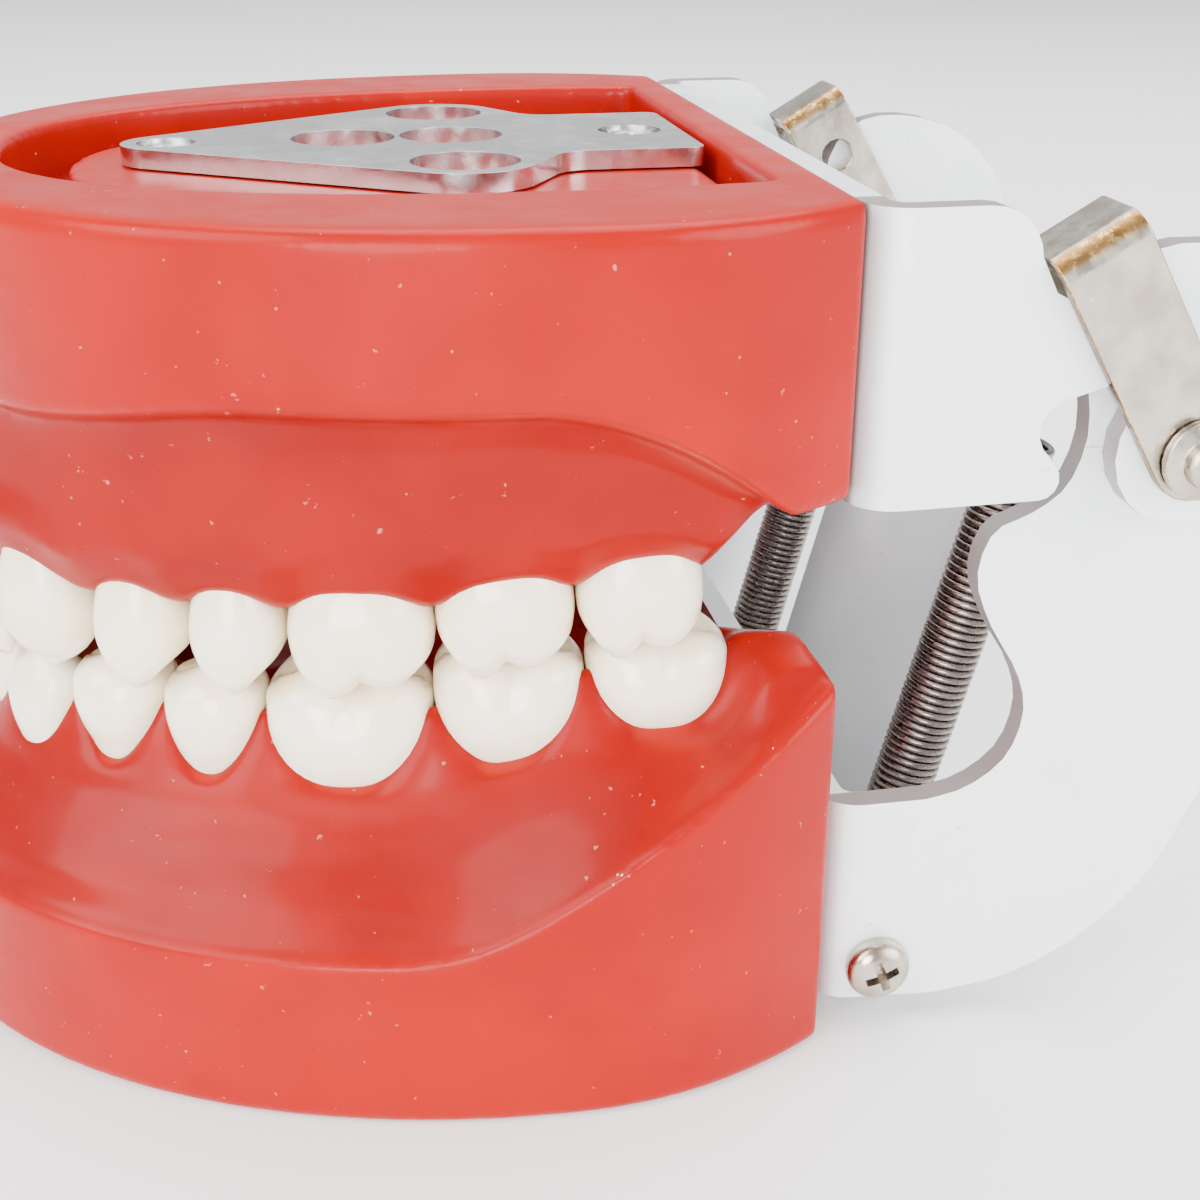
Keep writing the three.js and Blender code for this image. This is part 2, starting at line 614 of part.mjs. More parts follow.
function upperBracket() {
  const cheeks = onBothSides((sign) =>
    sideSlab(UPPER_CHEEK, ...layer(sign, UPPER_CHEEK_OUT - SHEET, UPPER_CHEEK_OUT)),
  );
  const lugOutline = [
    [WEB_FRONT + SHEET - JOIN, LUG.low],
    ...arc(UPPER_ROD.y, UPPER_ROD.z, 3.1, -90, 90, 7),
    [WEB_FRONT + SHEET - JOIN, LUG.high],
  ];
  const lugs = onBothSides((sign) => sideSlab(lugOutline, ...layer(sign, LUG.inner, LUG.outer)));
  const body = union([
    channelWeb(UPPER_CHEEK_OUT, UPPER_WEB.low, UPPER_WEB.high),
    ...cheeks,
    ...lugs,
  ]);
  const reach = UPPER_CHEEK_OUT + 1;
  return geometryOf(
    cutAll(body, [
      cylinderX(HINGE.y, HINGE.z, CHEEK_BORE, -reach, reach),
      cylinderX(UPPER_ROD.y, UPPER_ROD.z, UPPER_ROD.r + 0.15, -LUG.outer - 1, LUG.outer + 1, 14),
      ...webScrewHoles("upper"),
    ]),
  );
}

// ---- hinge rivets and locking clips -------------------------------------------------------------
const CLIP_OUTER = UPPER_CHEEK_OUT + 1.4; // outside of the clip's outer arm
const CLIP_INNER = LOWER_CHEEK_OUT - SHEET - 0.5 - CLIP_SHEET; // inside of its inner arm

function turned(profile, sides = 20) {
  const points = profile.map(([r, along]) => new THREE.Vector2(r, along));
  return new THREE.LatheGeometry(points, sides).rotateZ(-Math.PI / 2);
}

// A rivet on the hinge axis, lying along +X, with its formed head outside.
function hingeRivet() {
  const head = CLIP_OUTER + 0.2;
  const tail = CLIP_INNER - 0.3;
  return turned([
    [0, tail - 1.1],
    [2.6, tail - 1.1],
    [3, tail - 0.5],
    [3, tail],
    [RIVET_R, tail],
    [RIVET_R, head],
    [2.8, head],
    [2.8, head + 0.7],
    [1.7, head + 1],
    [1.6, head + 1.7],
    [1, head + 2.1],
    [0, head + 2.1],
  ]).translate(0, HINGE.y, HINGE.z);
}

// A U-shaped strap that stands on the hinge axis along +Z and straddles the two cheeks.
function clipShape() {
  const bend = 1.7;
  const inner = bend - CLIP_SHEET;
  const foot = -CLIP_WIDTH / 2 - 0.6;
  const top = CLIP_REACH - bend;
  const left = CLIP_INNER + bend;
  const right = CLIP_OUTER - bend;
  const strap = slab(
    [
      [CLIP_INNER, foot],
      [CLIP_INNER + CLIP_SHEET, foot],
      ...arc(left, top, inner, 180, 90, 4),
      ...arc(right, top, inner, 90, 0, 4),
      [CLIP_OUTER - CLIP_SHEET, foot],
      [CLIP_OUTER, foot],
      ...arc(right, top, bend, 0, 90, 5),
      ...arc(left, top, bend, 90, 180, 5),
    ],
    -CLIP_WIDTH / 2,
    CLIP_WIDTH / 2,
  ).rotateX(Math.PI / 2);
  const tall = CLIP_REACH + 1;
  const half = CLIP_WIDTH / 2;
  const rounded = sideSlab(
    [...arc(0, 0, half, 180, 360, 10), [half, tall], [-half, tall]],
    CLIP_INNER - 1,
    CLIP_OUTER + 1,
  );
  const eyelet = cylinderX(0, 12, 1.5, CLIP_INNER - 1, CLIP_INNER + CLIP_SHEET + 1, 16);
  const bore = cylinderX(0, 0, RIVET_R + 0.2, CLIP_INNER - 1, CLIP_OUTER + 1);
  return geometryOf(cutAll(solid(strap).intersect(solid(rounded)), [bore, eyelet]));
}

// ---- springs, rods and guard --------------------------------------------------------------------
function lowerRod() {
  const end = LOWER_CHEEK_OUT - SHEET - GAP;
  const rod = solid(cylinderX(0, 0, ROD.r, -end, end));
  const bores = onBothSides((sign) => cylinderX(0, 0, 1.1, ...layer(sign, end - 5, end + 1), 14));
  return geometryOf(cutAll(rod, bores)).translate(0, ROD.y, ROD.z);
}

const UPPER_ROD_REACH = SPRING_X + 2.4;
const upperRod = () =>
  cylinderX(UPPER_ROD.y, UPPER_ROD.z, UPPER_ROD.r, -UPPER_ROD_REACH, UPPER_ROD_REACH, 14);

const eyeRing = (y, z) => {
  const outer = solid(sideSlab(circle(y, z, EYE_R + WIRE), -WIRE / 2, WIRE / 2));
  return outer.subtract(solid(sideSlab(circle(y, z, EYE_R), -WIRE, WIRE)));
};

// The coil as a plain tube with its lower eye, standing on the lower rod's axis along +Z.
function springBody() {
  const tube = solid(slab(circle(0, SPRING_OFFSET, COIL_R, 16), COIL_START, COIL_END));
  const bore = solid(slab(circle(0, SPRING_OFFSET, COIL_R - WIRE, 16), COIL_START + 1, COIL_END + 1));
  const neck = solid(box([-WIRE / 2, WIRE / 2], [EYE_R + 0.1, EYE_R + 0.1 + WIRE], [-0.2, COIL_START + 0.5]));
  return geometryOf(tube.subtract(bore).add(neck).add(eyeRing(0, 0)));
}

// The upper end of the wire: a stem that runs in the coil, and the eye on the upper rod.
function springHook() {
  const stem = solid(
    box(
      [-WIRE / 2, WIRE / 2],
      [SPRING_OFFSET - WIRE / 2, SPRING_OFFSET + WIRE / 2],
      [COIL_END - STEM_SUNK, SPRING_LENGTH - EYE_R - 0.2],
    ),
  );
  return geometryOf(stem.add(eyeRing(SPRING_OFFSET, SPRING_LENGTH)));
}

const GUARD = { y: 4.9, sheet: 0.8, top: 37, half: 17.4 }; // between the springs

// The sheet behind the springs, hooked under the lower rod.
function guardShape() {
  const outer = EYE_R + GUARD.sheet;
  const hook = [
    ...arc(0, 0, EYE_R, 225, 270, 3),
    [GUARD.y - 0.8, -EYE_R],
    [GUARD.y, -EYE_R + 0.8],
    [GUARD.y, 5],
    [GUARD.y + GUARD.sheet, 5],
    [GUARD.y + GUARD.sheet, -EYE_R + 0.4],
    [GUARD.y - 0.4, -outer],
    ...arc(0, 0, outer, 270, 225, 3),
  ].reverse();
  const flat = box([-GUARD.half, GUARD.half], [GUARD.y, GUARD.y + GUARD.sheet], [4, GUARD.top]);
  return geometryOf(union([sideSlab(hook, -GUARD.half, GUARD.half), flat]));
}

// ---- screws -------------------------------------------------------------------------------------
// A pan-head screw along +Z, its head's under face at z = 0.
function panScrew(shank, length, head, high) {
  return new THREE.LatheGeometry(
    [
      [0, -length],
      [shank, -length],
      [shank, 0],
      [head, 0],
      [head, high * 0.45],
      [head * 0.8, high * 0.85],
      [head * 0.4, high],
      [0, high],
    ].map(([r, z]) => new THREE.Vector2(r, z)),
    14,
  ).rotateX(Math.PI / 2);
}

// ---- assembly -----------------------------------------------------------------------------------
const typodont = new THREE.Group();
typodont.position.y = (FRONT_REACH - REAR_REACH) / 2;

function add(parent, name, geometry, material) {
  const mesh = new THREE.Mesh(geometry, material);
  mesh.name = name;
  parent.add(mesh);
  return mesh;
}

const SIDES = [
  { side: "left", sign: 1 },
  { side: "right", sign: -1 },
];

function addTeeth(jaw, teeth) {
  for (const tooth of teeth) {
    const geometry = placeTooth(toothShape(tooth), tooth, jaw === "upper");
    add(typodont, `${jaw}_left_${tooth.name}`, geometry, TOOTH);
    add(typodont, `${jaw}_right_${tooth.name}`, mirrored(geometry), TOOTH);
  }
}

add(typodont, "lower_gum_base", lowerBase(), GUM);
add(typodont, "upper_gum_base", upperBase(), GUM);
addTeeth("lower", LOWER_TEETH);
addTeeth("upper", UPPER_TEETH);

const LOWER_PLATE_LOW = RECESS_DEPTH - GAP / 2 - PLATE_THICK;
const UPPER_PLATE_LOW = RIM_TOP - RECESS_DEPTH + GAP / 2;
add(typodont, "lower_mounting_plate", mountingPlate(LOWER_PLATE_LOW), PLATE_STEEL);
add(typodont, "upper_mounting_plate", mountingPlate(UPPER_PLATE_LOW), PLATE_STEEL);
add(typodont, "lower_bracket", lowerBracket(), BRACKET);
add(typodont, "upper_bracket", upperBracket(), BRACKET);

// The plate screws' heads stand in the plates' end holes, on the floors of the recesses.
for (const [end, y] of Object.entries(PLATE_SCREWS)) {
  const above = add(typodont, `upper_plate_screw_${end}`, panScrew(1.2, 5.5, 1.9, 1.1), PLATE_STEEL);
  above.position.set(0, y, UPPER_PLATE_LOW);
  const below = add(typodont, `lower_plate_screw_${end}`, panScrew(1.2, 5.5, 1.9, 1.1), PLATE_STEEL);
  below.rotation.x = Math.PI;
  below.position.set(0, y, LOWER_PLATE_LOW + PLATE_THICK);
}

for (const jaw of ["upper", "lower"]) {
  for (const { side, sign } of SIDES) {
    const screw = add(typodont, `${jaw}_bracket_screw_${side}`, panScrew(1.3, 7.5, 2.5, 1.5), NICKEL);
    screw.rotation.x = -Math.PI / 2;
    screw.position.set(sign * WEB_SCREW_X[jaw], WEB_FRONT + SHEET + 0.15, WEB_SCREW_Z[jaw]);
  }
}

add(typodont, "lower_spring_rod", lowerRod(), NICKEL);
add(typodont, "upper_spring_rod", upperRod(), NICKEL);
const springFrame = new THREE.Group();
springFrame.position.set(0, ROD.y, ROD.z);
springFrame.rotation.x = -SPRING_TILT;
typodont.add(springFrame);
add(springFrame, "spring_guard", guardShape(), BRACKET);

for (const { side, sign } of SIDES) {
  const rivet = hingeRivet();
  add(typodont, `${side}_hinge_rivet`, sign > 0 ? rivet : mirrored(rivet), NICKEL);

  const rodScrew = add(typodont, `${side}_rod_screw`, panScrew(0.8, 6, 2.5, 1.9), NICKEL);
  rodScrew.rotation.y = (sign * Math.PI) / 2;
  rodScrew.position.set(sign * (LOWER_CHEEK_OUT + 0.15), ROD.y, ROD.z);

  const clip = add(typodont, `${side}_locking_clip`, sign > 0 ? clipShape() : mirrored(clipShape()), NICKEL);
  clip.position.set(0, HINGE.y, HINGE.z);
  clip.rotation.x = CLIP_LEAN;

  const spring = add(springFrame, `${side}_spring`, springBody(), SPRING_STEEL);
  const hook = add(springFrame, `${side}_spring_hook`, springHook(), SPRING_STEEL);
  spring.position.x = sign * SPRING_X;
  hook.position.x = sign * SPRING_X;
}

export default typodont;
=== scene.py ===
"""Looks for a hinged typodont: moulded gums, enamel teeth, coil springs and metal finishes on the CAD frame.

Shapes are worked out in millimetres with y = 0 at the gum bases' rear faces, then set in the frame in metres.
"""

import json
import math

import bmesh
import bpy
import numpy as np
from mathutils import Matrix, Vector


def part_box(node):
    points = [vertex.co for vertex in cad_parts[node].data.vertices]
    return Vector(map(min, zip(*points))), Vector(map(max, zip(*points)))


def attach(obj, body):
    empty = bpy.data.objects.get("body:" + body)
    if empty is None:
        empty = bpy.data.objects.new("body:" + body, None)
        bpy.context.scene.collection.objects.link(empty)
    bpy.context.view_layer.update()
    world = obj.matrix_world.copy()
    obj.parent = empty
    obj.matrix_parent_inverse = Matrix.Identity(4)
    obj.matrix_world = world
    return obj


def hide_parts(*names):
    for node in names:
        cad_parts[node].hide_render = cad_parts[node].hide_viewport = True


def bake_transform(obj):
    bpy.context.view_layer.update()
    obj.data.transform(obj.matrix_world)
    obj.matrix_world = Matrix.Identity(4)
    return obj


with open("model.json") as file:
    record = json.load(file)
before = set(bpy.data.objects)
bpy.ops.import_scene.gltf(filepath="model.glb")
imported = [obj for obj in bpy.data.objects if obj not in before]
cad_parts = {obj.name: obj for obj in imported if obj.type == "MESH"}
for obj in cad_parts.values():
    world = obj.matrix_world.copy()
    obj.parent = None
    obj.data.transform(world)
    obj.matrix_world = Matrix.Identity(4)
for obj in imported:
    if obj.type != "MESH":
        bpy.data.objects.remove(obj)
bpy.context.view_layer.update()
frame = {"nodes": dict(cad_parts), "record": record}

MM = 0.001
REAR_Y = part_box("lower_gum_base")[1].y
LOWER_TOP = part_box("lower_gum_base")[1].z / MM
RIM_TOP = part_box("upper_gum_base")[1].z / MM
FRONT_REACH = (REAR_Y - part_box("lower_gum_base")[0].y) / MM


# ---- meshes -------------------------------------------------------------------------------------
def to_frame(points):
    """Millimetre points as metres in the row frame."""
    return np.asarray(points, float) * MM + np.array([0.0, REAR_Y, 0.0])


def add_object(name, mesh):
    piece = bpy.data.objects.new(name, mesh)
    bpy.context.scene.collection.objects.link(piece)
    return piece


def mesh_piece(name, points, faces):
    """A smooth-shaded object from millimetre points."""
    mesh = bpy.data.meshes.new(name)
    mesh.from_pydata([tuple(p) for p in to_frame(points)], [], faces)
    mesh.polygons.foreach_set("use_smooth", [True] * len(mesh.polygons))
    mesh.update()
    return add_object(name, mesh)


def grid_faces(rows, columns):
    """Quads between closed rings of equal length, anticlockwise and listed bottom to top."""
    faces = []
    for row in range(rows - 1):
        for i in range(columns):
            j = (i + 1) % columns
            low, high = row * columns, (row + 1) * columns
            faces.append((low + i, low + j, high + j, high + i))
    return faces


def loft(name, rings):
    """A closed skin through rings, its two ends filled with fans."""
    rings = [np.asarray(ring, float) for ring in rings]
    count = len(rings[0])
    points = np.vstack([*rings, rings[0].mean(0), rings[-1].mean(0)])
    bottom, top = len(points) - 2, len(points) - 1
    last = (len(rings) - 1) * count
    faces = grid_faces(len(rings), count)
    for i in range(count):
        j = (i + 1) % count
        faces.append((bottom, j, i))
        faces.append((top, last + i, last + j))
    return mesh_piece(name, points, faces)


def apply_modifiers(piece):
    """Replaces the piece's mesh with what its modifiers make of it."""
    depsgraph = bpy.context.evaluated_depsgraph_get()
    made = bpy.data.meshes.new_from_object(piece.evaluated_get(depsgraph))
    piece.modifiers.clear()
    piece.data = made
    return piece


def cut(piece, tools):
    """Takes the tools out of the piece and removes them."""
    for tool in tools:
        boolean = piece.modifiers.new("cut", "BOOLEAN")
        boolean.operation = "DIFFERENCE"
        boolean.solver = "MANIFOLD"
        boolean.object = tool
    apply_modifiers(piece)
    for tool in tools:
        bpy.data.objects.remove(tool)
    return piece


def cylinder(name, centre, radius, length, axis="Z", sides=48):
    """A cylinder in millimetres, centred on a point."""
    mesh = bpy.data.meshes.new(name)
    work = bmesh.new()
    bmesh.ops.create_cone(
        work,
        cap_ends=True,
        segments=sides,
        radius1=radius * MM,
        radius2=radius * MM,
        depth=length * MM,
    )
    turn = {"X": Matrix.Rotation(math.pi / 2, 4, "Y"), "Y": Matrix.Rotation(math.pi / 2, 4, "X")}
    work.transform(Matrix.Translation(Vector(to_frame(centre))) @ turn.get(axis, Matrix.Identity(4)))
    work.to_mesh(mesh)
    work.free()
    return add_object(name, mesh)


def smoothstep(low, high, value):
    """0 at low and 1 at high, which may lie below it, with a smooth change between."""
    t = np.clip((np.asarray(value, float) - low) / (high - low), 0, 1)
    return t * t * (3 - 2 * t)


# ---- where the teeth stand ----------------------------------------------------------------------
TEETH = (
    "central_incisor",
    "lateral_incisor",
    "canine",
    "first_premolar",
    "second_premolar",
    "first_molar",
    "second_molar",
    "third_molar",
)


def node_points(node):
    """A CAD node's vertices in drawing millimetres."""
    points = np.array([v.co for v in frame["nodes"][node].data.vertices], float)
    return (points - np.array([0.0, REAR_Y, 0.0])) / MM


def tooth_places(jaw):
    """Each left tooth's middle, row direction and size, read from the CAD teeth."""
    places = []
    middles = [node_points(f"{jaw}_left_{tooth}") for tooth in TEETH]
    middles = [(p.min(0) + p.max(0)) / 2 for p in middles]
    for i, tooth in enumerate(TEETH):
        before = middles[i - 1] if i else middles[0] * np.array([-1, 1, 1])
        after = middles[min(i + 1, len(TEETH) - 1)]
        turn = math.atan2(after[1] - before[1], after[0] - before[0])
        points = node_points(f"{jaw}_left_{tooth}") - middles[i] * np.array([1, 1, 0])
        cos, sin = math.cos(turn), math.sin(turn)
        local = np.stack(
            [points[:, 0] * cos + points[:, 1] * sin, points[:, 1] * cos - points[:, 0] * sin, points[:, 2]],
            axis=1,
        )
        low, high = local.min(0), local.max(0)
        midline_gap = middles[0][0] + low[0] if i == 0 else 0
        spread = np.array([midline_gap / 2, 0, 0])
        places.append({
            "tooth": tooth,
            "middle": middles[i] - spread,
            "turn": turn,
            "low": low - spread,
            "high": high + spread,
        })
    return places


UPPER_PLACES = tooth_places("upper")
LOWER_PLACES = tooth_places("lower")


# ---- teeth --------------------------------------------------------------------------------------
ROOT_LENGTHS = {"canine": 4.5, "third_molar": 3.0}
PAPILLA_POWERS = {"incisor": 2.4, "canine": 2.4, "premolar": 2.6, "molar": 3.8}
TOOTH_SIDES = 56
CONTACT_FILL = 0.22
SIDE_RINGS = 16
TOP_RINGS = 12

# Forms of the crowns. "at" runs from the neck (0) to the longest cusp (1), with the shares of the tooth's
# width and thickness there and its lean to the lips. Cusps are (along the row, across it, height share,
# spread), towards the rear and the tongue when positive, on a table at "level".
FORMS = {
    "incisor": {
        "at": (0, 0.4, 0.75, 0.94, 1),
        "wide": (0.78, 0.93, 1, 0.99, 0.93),
        "thick": (0.9, 0.98, 0.62, 0.34, 0.2),
        "lean": (0, 0.03, 0.1, 0.14, 0.15),
        "power": 2.4,
        "level": 0.97,
        "cusps": ((0, 0, 0.02, 0.8),),
    },
    "canine": {
        "at": (0, 0.3, 0.6, 0.8, 0.93, 1),
        "wide": (0.78, 0.93, 1, 0.86, 0.58, 0.3),
        "thick": (0.86, 0.98, 0.86, 0.6, 0.38, 0.2),
        "lean": (0, 0.02, 0.05, 0.08, 0.1, 0.1),
        "power": 2.3,
        "level": 0.93,
        "cusps": ((0, 0, 0.06, 0.5),),
    },
    "upper_premolar": {
        "at": (0, 0.2, 0.45, 0.7, 0.9, 1),
        "wide": (0.8, 0.92, 1, 0.97, 0.82, 0.6),
        "thick": (0.82, 0.94, 1, 0.98, 0.86, 0.7),
        "lean": (0, 0.01, 0.02, 0.02, 0.03, 0.03),
        "power": 2.4,
        "level": 0.8,
        "cusps": ((0, -0.75, 0.22, 0.6), (0, 0.5, 0.1, 0.4)),
    },
    "lower_premolar": {
        "at": (0, 0.2, 0.45, 0.7, 0.88, 1),
        "wide": (0.76, 0.88, 0.98, 1, 0.96, 0.82),
        "thick": (0.82, 0.94, 1, 0.94, 0.8, 0.56),
        "lean": (0, 0.01, 0.02, 0.02, 0.02, 0.02),
        "power": 2.4,
        "level": 0.86,
        "cusps": ((0, -0.45, 0.14, 0.5), (0, 0.5, 0.08, 0.4)),
    },
    "upper_molar": {
        "at": (0, 0.2, 0.45, 0.7, 0.9, 1),
        "wide": (0.84, 0.94, 1, 0.99, 0.93, 0.8),
        "thick": (0.86, 0.96, 1, 0.99, 0.93, 0.82),
        "lean": (0, 0.01, 0.02, 0.02, 0.02, 0.02),
        "power": 2.8,
        "level": 0.79,
        "cusps": (
            (-0.4, -0.8, 0.21, 0.4),
            (0.45, -0.8, 0.12, 0.34),
            (-0.4, 0.6, 0.06, 0.34),
            (0.43, 0.6, 0.05, 0.34),
        ),
    },
    "lower_molar": {
        "at": (0, 0.2, 0.45, 0.7, 0.9, 1),
        "wide": (0.8, 0.92, 0.99, 1, 0.96, 0.84),
        "thick": (0.86, 0.96, 1, 0.94, 0.82, 0.66),
        "lean": (0, 0.01, 0.02, 0.01, 0.01, 0.01),
        "power": 2.6,
        "level": 0.86,
        "cusps": (
            (-0.42, -0.5, 0.13, 0.36),
            (0.43, -0.5, 0.11, 0.36),
            (-0.42, 0.56, 0.12, 0.34),
            (0.43, 0.56, 0.1, 0.34),
        ),
    },
}

# How far the longest cusp goes past the plain CAD crown, in millimetres.
CUSP_REACH = {
    "upper": {
        "first_premolar": 0.9,
        "second_premolar": 0.7,
        "first_molar": 0.9,
        "second_molar": 1.4,
        "third_molar": 1.2,
    },
    "lower": {
        "first_premolar": 0.8,
        "second_premolar": 0.8,
        "first_molar": 0.6,
        "second_molar": 0.2,
        "third_molar": 0.2,
    },
}


def family(tooth):
    return tooth.split("_")[-1]


def form_name(jaw, tooth):
    kind = family(tooth)
    return f"{jaw}_{kind}" if kind in ("premolar", "molar") else kind


def smooth_profile(at, values, shares):
    """Values between the given ones along a smooth curve."""
    at, values = np.asarray(at, float), np.asarray(values, float)
    slopes = np.gradient(values, at)
    i = np.clip(np.searchsorted(at, shares, side="right") - 1, 0, len(at) - 2)
    step = at[i + 1] - at[i]
    t = (shares - at[i]) / step
    return (
        values[i] * (2 * t**3 - 3 * t**2 + 1)
        + values[i + 1] * (3 * t**2 - 2 * t**3)
        + step * slopes[i] * (t**3 - 2 * t**2 + t)
        + step * slopes[i + 1] * (t**3 - t**2)
    )


def raw_surface(form, u, v):
    """The chewing surface before it is scaled to reach a height of 1."""
    height = np.full_like(u, form["level"])
    for along, across, tall, spread in form["cusps"]:
        height = height + tall * np.exp(-((u - along) ** 2 + (v - across) ** 2) / spread**2)
    if len(form["cusps"]) > 1:
        height = height - 0.05 * np.exp(-((v / 0.1) ** 2)) * smoothstep(0, 0.4, 0.95 - np.abs(u))
        height = height - 0.02 * np.exp(-(((np.abs(u) - 0.72) / 0.16) ** 2)) * np.exp(-((v / 0.4) ** 2))
    if len(form["cusps"]) > 2:
        height = height - 0.03 * np.exp(-((u / 0.08) ** 2)) * smoothstep(0.1, 0.4, np.abs(v))
    return height


def surface_peak(form):
    span = np.linspace(-0.8, 0.8, 33)
    return raw_surface(form, *np.meshgrid(span, span)).max()


def biting_surface(form, u, v):
    """Height share of the chewing surface at (u, v), each from -1 to 1, with its highest cusp at 1."""
    return raw_surface(form, u, v) / form["peak"]


for crown_form in FORMS.values():
    crown_form["peak"] = surface_peak(crown_form)


def tooth_rings(form, width, thick, crown, root):
    """Rings of a tooth on its neck at z = 0, its outer face towards -Y, and how much painted shade each point
    gets, from how deep it lies in a groove and how near it is to the neck."""
    angle = np.linspace(0, 2 * math.pi, TOOTH_SIDES, endpoint=False)
    cos, sin = np.cos(angle), np.sin(angle)
    size = (np.abs(cos) ** form["power"] + np.abs(sin) ** form["power"]) ** (-1 / form["power"])
    u, v = cos * size, sin * size
    edge = biting_surface(form, u * 0.8, v * 0.8)
    rings, depths = [], []
    for z, share in ((-root, 0.5), (-root * 0.5, 0.66)):
        rings.append(np.stack([u * width / 2 * share, v * thick / 2 * share, np.full_like(u, z)], 1))
        depths.append(np.zeros_like(u))
    for share in np.linspace(0, 1, SIDE_RINGS):
        wide = smooth_profile(form["at"], form["wide"], share)
        deep = smooth_profile(form["at"], form["thick"], share)
        lean = smooth_profile(form["at"], form["lean"], share)
        groove = np.zeros_like(u)
        if len(form["cusps"]) > 2:
            groove = np.exp(-((u / 0.15) ** 2)) * smoothstep(0.35, 0.95, share)
        inward = 1 - 0.07 * groove
        z = crown * share * (1 + (edge - 1) * smoothstep(0.2, 1, share))
        rings.append(
            np.stack([u * width / 2 * wide, v * thick / 2 * deep * inward - lean * thick, z], 1)
        )
        # painted shade amount: more in the grooves and towards the neck
        depths.append(groove * 0.6 + 0.45 * (1 - share) ** 2)
    for share in np.linspace(1, 0, TOP_RINGS + 1)[1:-1]:
        height = crown * biting_surface(form, u * 0.8 * share, v * 0.8 * share)
        x = u * width / 2 * form["wide"][-1] * share
        y = v * thick / 2 * form["thick"][-1] * share - form["lean"][-1] * thick
        rings.append(np.stack([x, y, height], 1))
        plain = biting_surface(form, u * 0.8 * share, np.full_like(v, 0.5))
        depths.append(np.clip((plain - height / crown) * 6, 0, 1))
    return rings, np.concatenate(depths)


def make_tooth(jaw, side, place):
    form = FORMS[form_name(jaw, place["tooth"])]
    low, high = place["low"], place["high"]
    root = ROOT_LENGTHS.get(family(place["tooth"]), ROOT_LENGTHS.get(place["tooth"], 4.0))
    crown = high[2] - low[2] - root + CUSP_REACH[jaw].get(place["tooth"], 0)
    width = high[0] - low[0] + CONTACT_FILL
    rings, depths = tooth_rings(form, width, high[1] - low[1], crown, root)
    points = []
    for ring in rings:
        x, y = ring[:, 0], ring[:, 1] + (low[1] + high[1]) / 2
        z = high[2] - root - ring[:, 2] if jaw == "upper" else low[2] + root + ring[:, 2]
        cos, sin = math.cos(place["turn"]), math.sin(place["turn"])
        across = x * cos - y * sin + place["middle"][0]
        back = x * sin + y * cos + place["middle"][1]
        points.append(np.stack([across if side == "left" else -across, back, z], 1))
    node = f"{jaw}_{side}_{place['tooth']}"
    tooth = loft(f"{node}_enamel", points)
    if (side == "right") != (jaw == "upper"):
        tooth.data.flip_normals()
    # the groove layer holds each point's painted shade amount
    groove_shade = tooth.data.attributes.new("groove", "FLOAT", "POINT")
    groove_shade.data.foreach_set("value", np.append(depths, [0, depths[-1]]).astype(np.float32))
    tooth.data.materials.append(ENAMEL)
    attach(tooth, f"{jaw}_jaw")
    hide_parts(node)


# ---- gum bases ----------------------------------------------------------------------------------
STEPS_PER_TOOTH = 12
REAR_STEPS = 16
SIDE_STEPS = 8


def arch_line(places):
    """A smooth line through the left teeth's middles, from the midline to behind the last tooth."""
    middles = np.array([place["middle"][:2] for place in places])
    half = [(place["high"][0] - place["low"][0]) / 2 + 0.15 for place in places]
    at = np.cumsum([half[0], *[half[i] + half[i + 1] for i in range(len(half) - 1)]])
    front = middles[0] * np.array([-1, 1])
    knots = np.vstack([front, middles, middles[-1] + (middles[-1] - middles[-2]) * 0.55])
    marks = np.concatenate([[-at[0]], at, [at[-1] + half[-1]]])
    return marks, knots, half


def arch_rays(places):
    """Rays across the arch: where each starts, its direction, and a wave that is 1 between teeth."""
    marks, knots, half = arch_line(places)
    wanted, waves = [], []
    start = 0.0
    for size, place in zip(half, places):
        power = PAPILLA_POWERS[family(place["tooth"])]
        for i in range(STEPS_PER_TOOTH):
            share = i / STEPS_PER_TOOTH
            wanted.append(start + 2 * size * share)
            waves.append(abs(math.cos(math.pi * share)) ** power)
        start += 2 * size
    wanted.append(start)
    waves.append(1.0)
    wanted = np.array(wanted)
    line = np.stack([smooth_profile(marks, knots[:, k], wanted) for k in (0, 1)], 1)
    line[0, 0] = 0.0
    along = np.gradient(line, axis=0)
    along[0] = (1, 0)
    along /= np.linalg.norm(along, axis=1)[:, None]
    for _ in range(6):
        along[1:-1] = (along[:-2] + 2 * along[1:-1] + along[2:]) / 4
    along /= np.linalg.norm(along, axis=1)[:, None]
    out = np.stack([along[:, 1], -along[:, 0]], 1)
    return {"start": line - 4 * out, "out": out, "wave": np.array(waves)}


def half_at(plan, y):
    """Half the width of a D-shaped plan at y, or -1 in front of it."""
    half, depth, centre, power, rear_half, rear_y = plan
    s = np.clip((y - centre) / (rear_y - centre), 0, 1)
    t = np.clip((centre - y) / depth, 0, 1)
    front = np.where(centre - y < depth, half * (1 - t**power) ** (1 / power), -1.0)
    return np.where(y > centre, rear_half + (half - rear_half) * (1 - s * s), front)


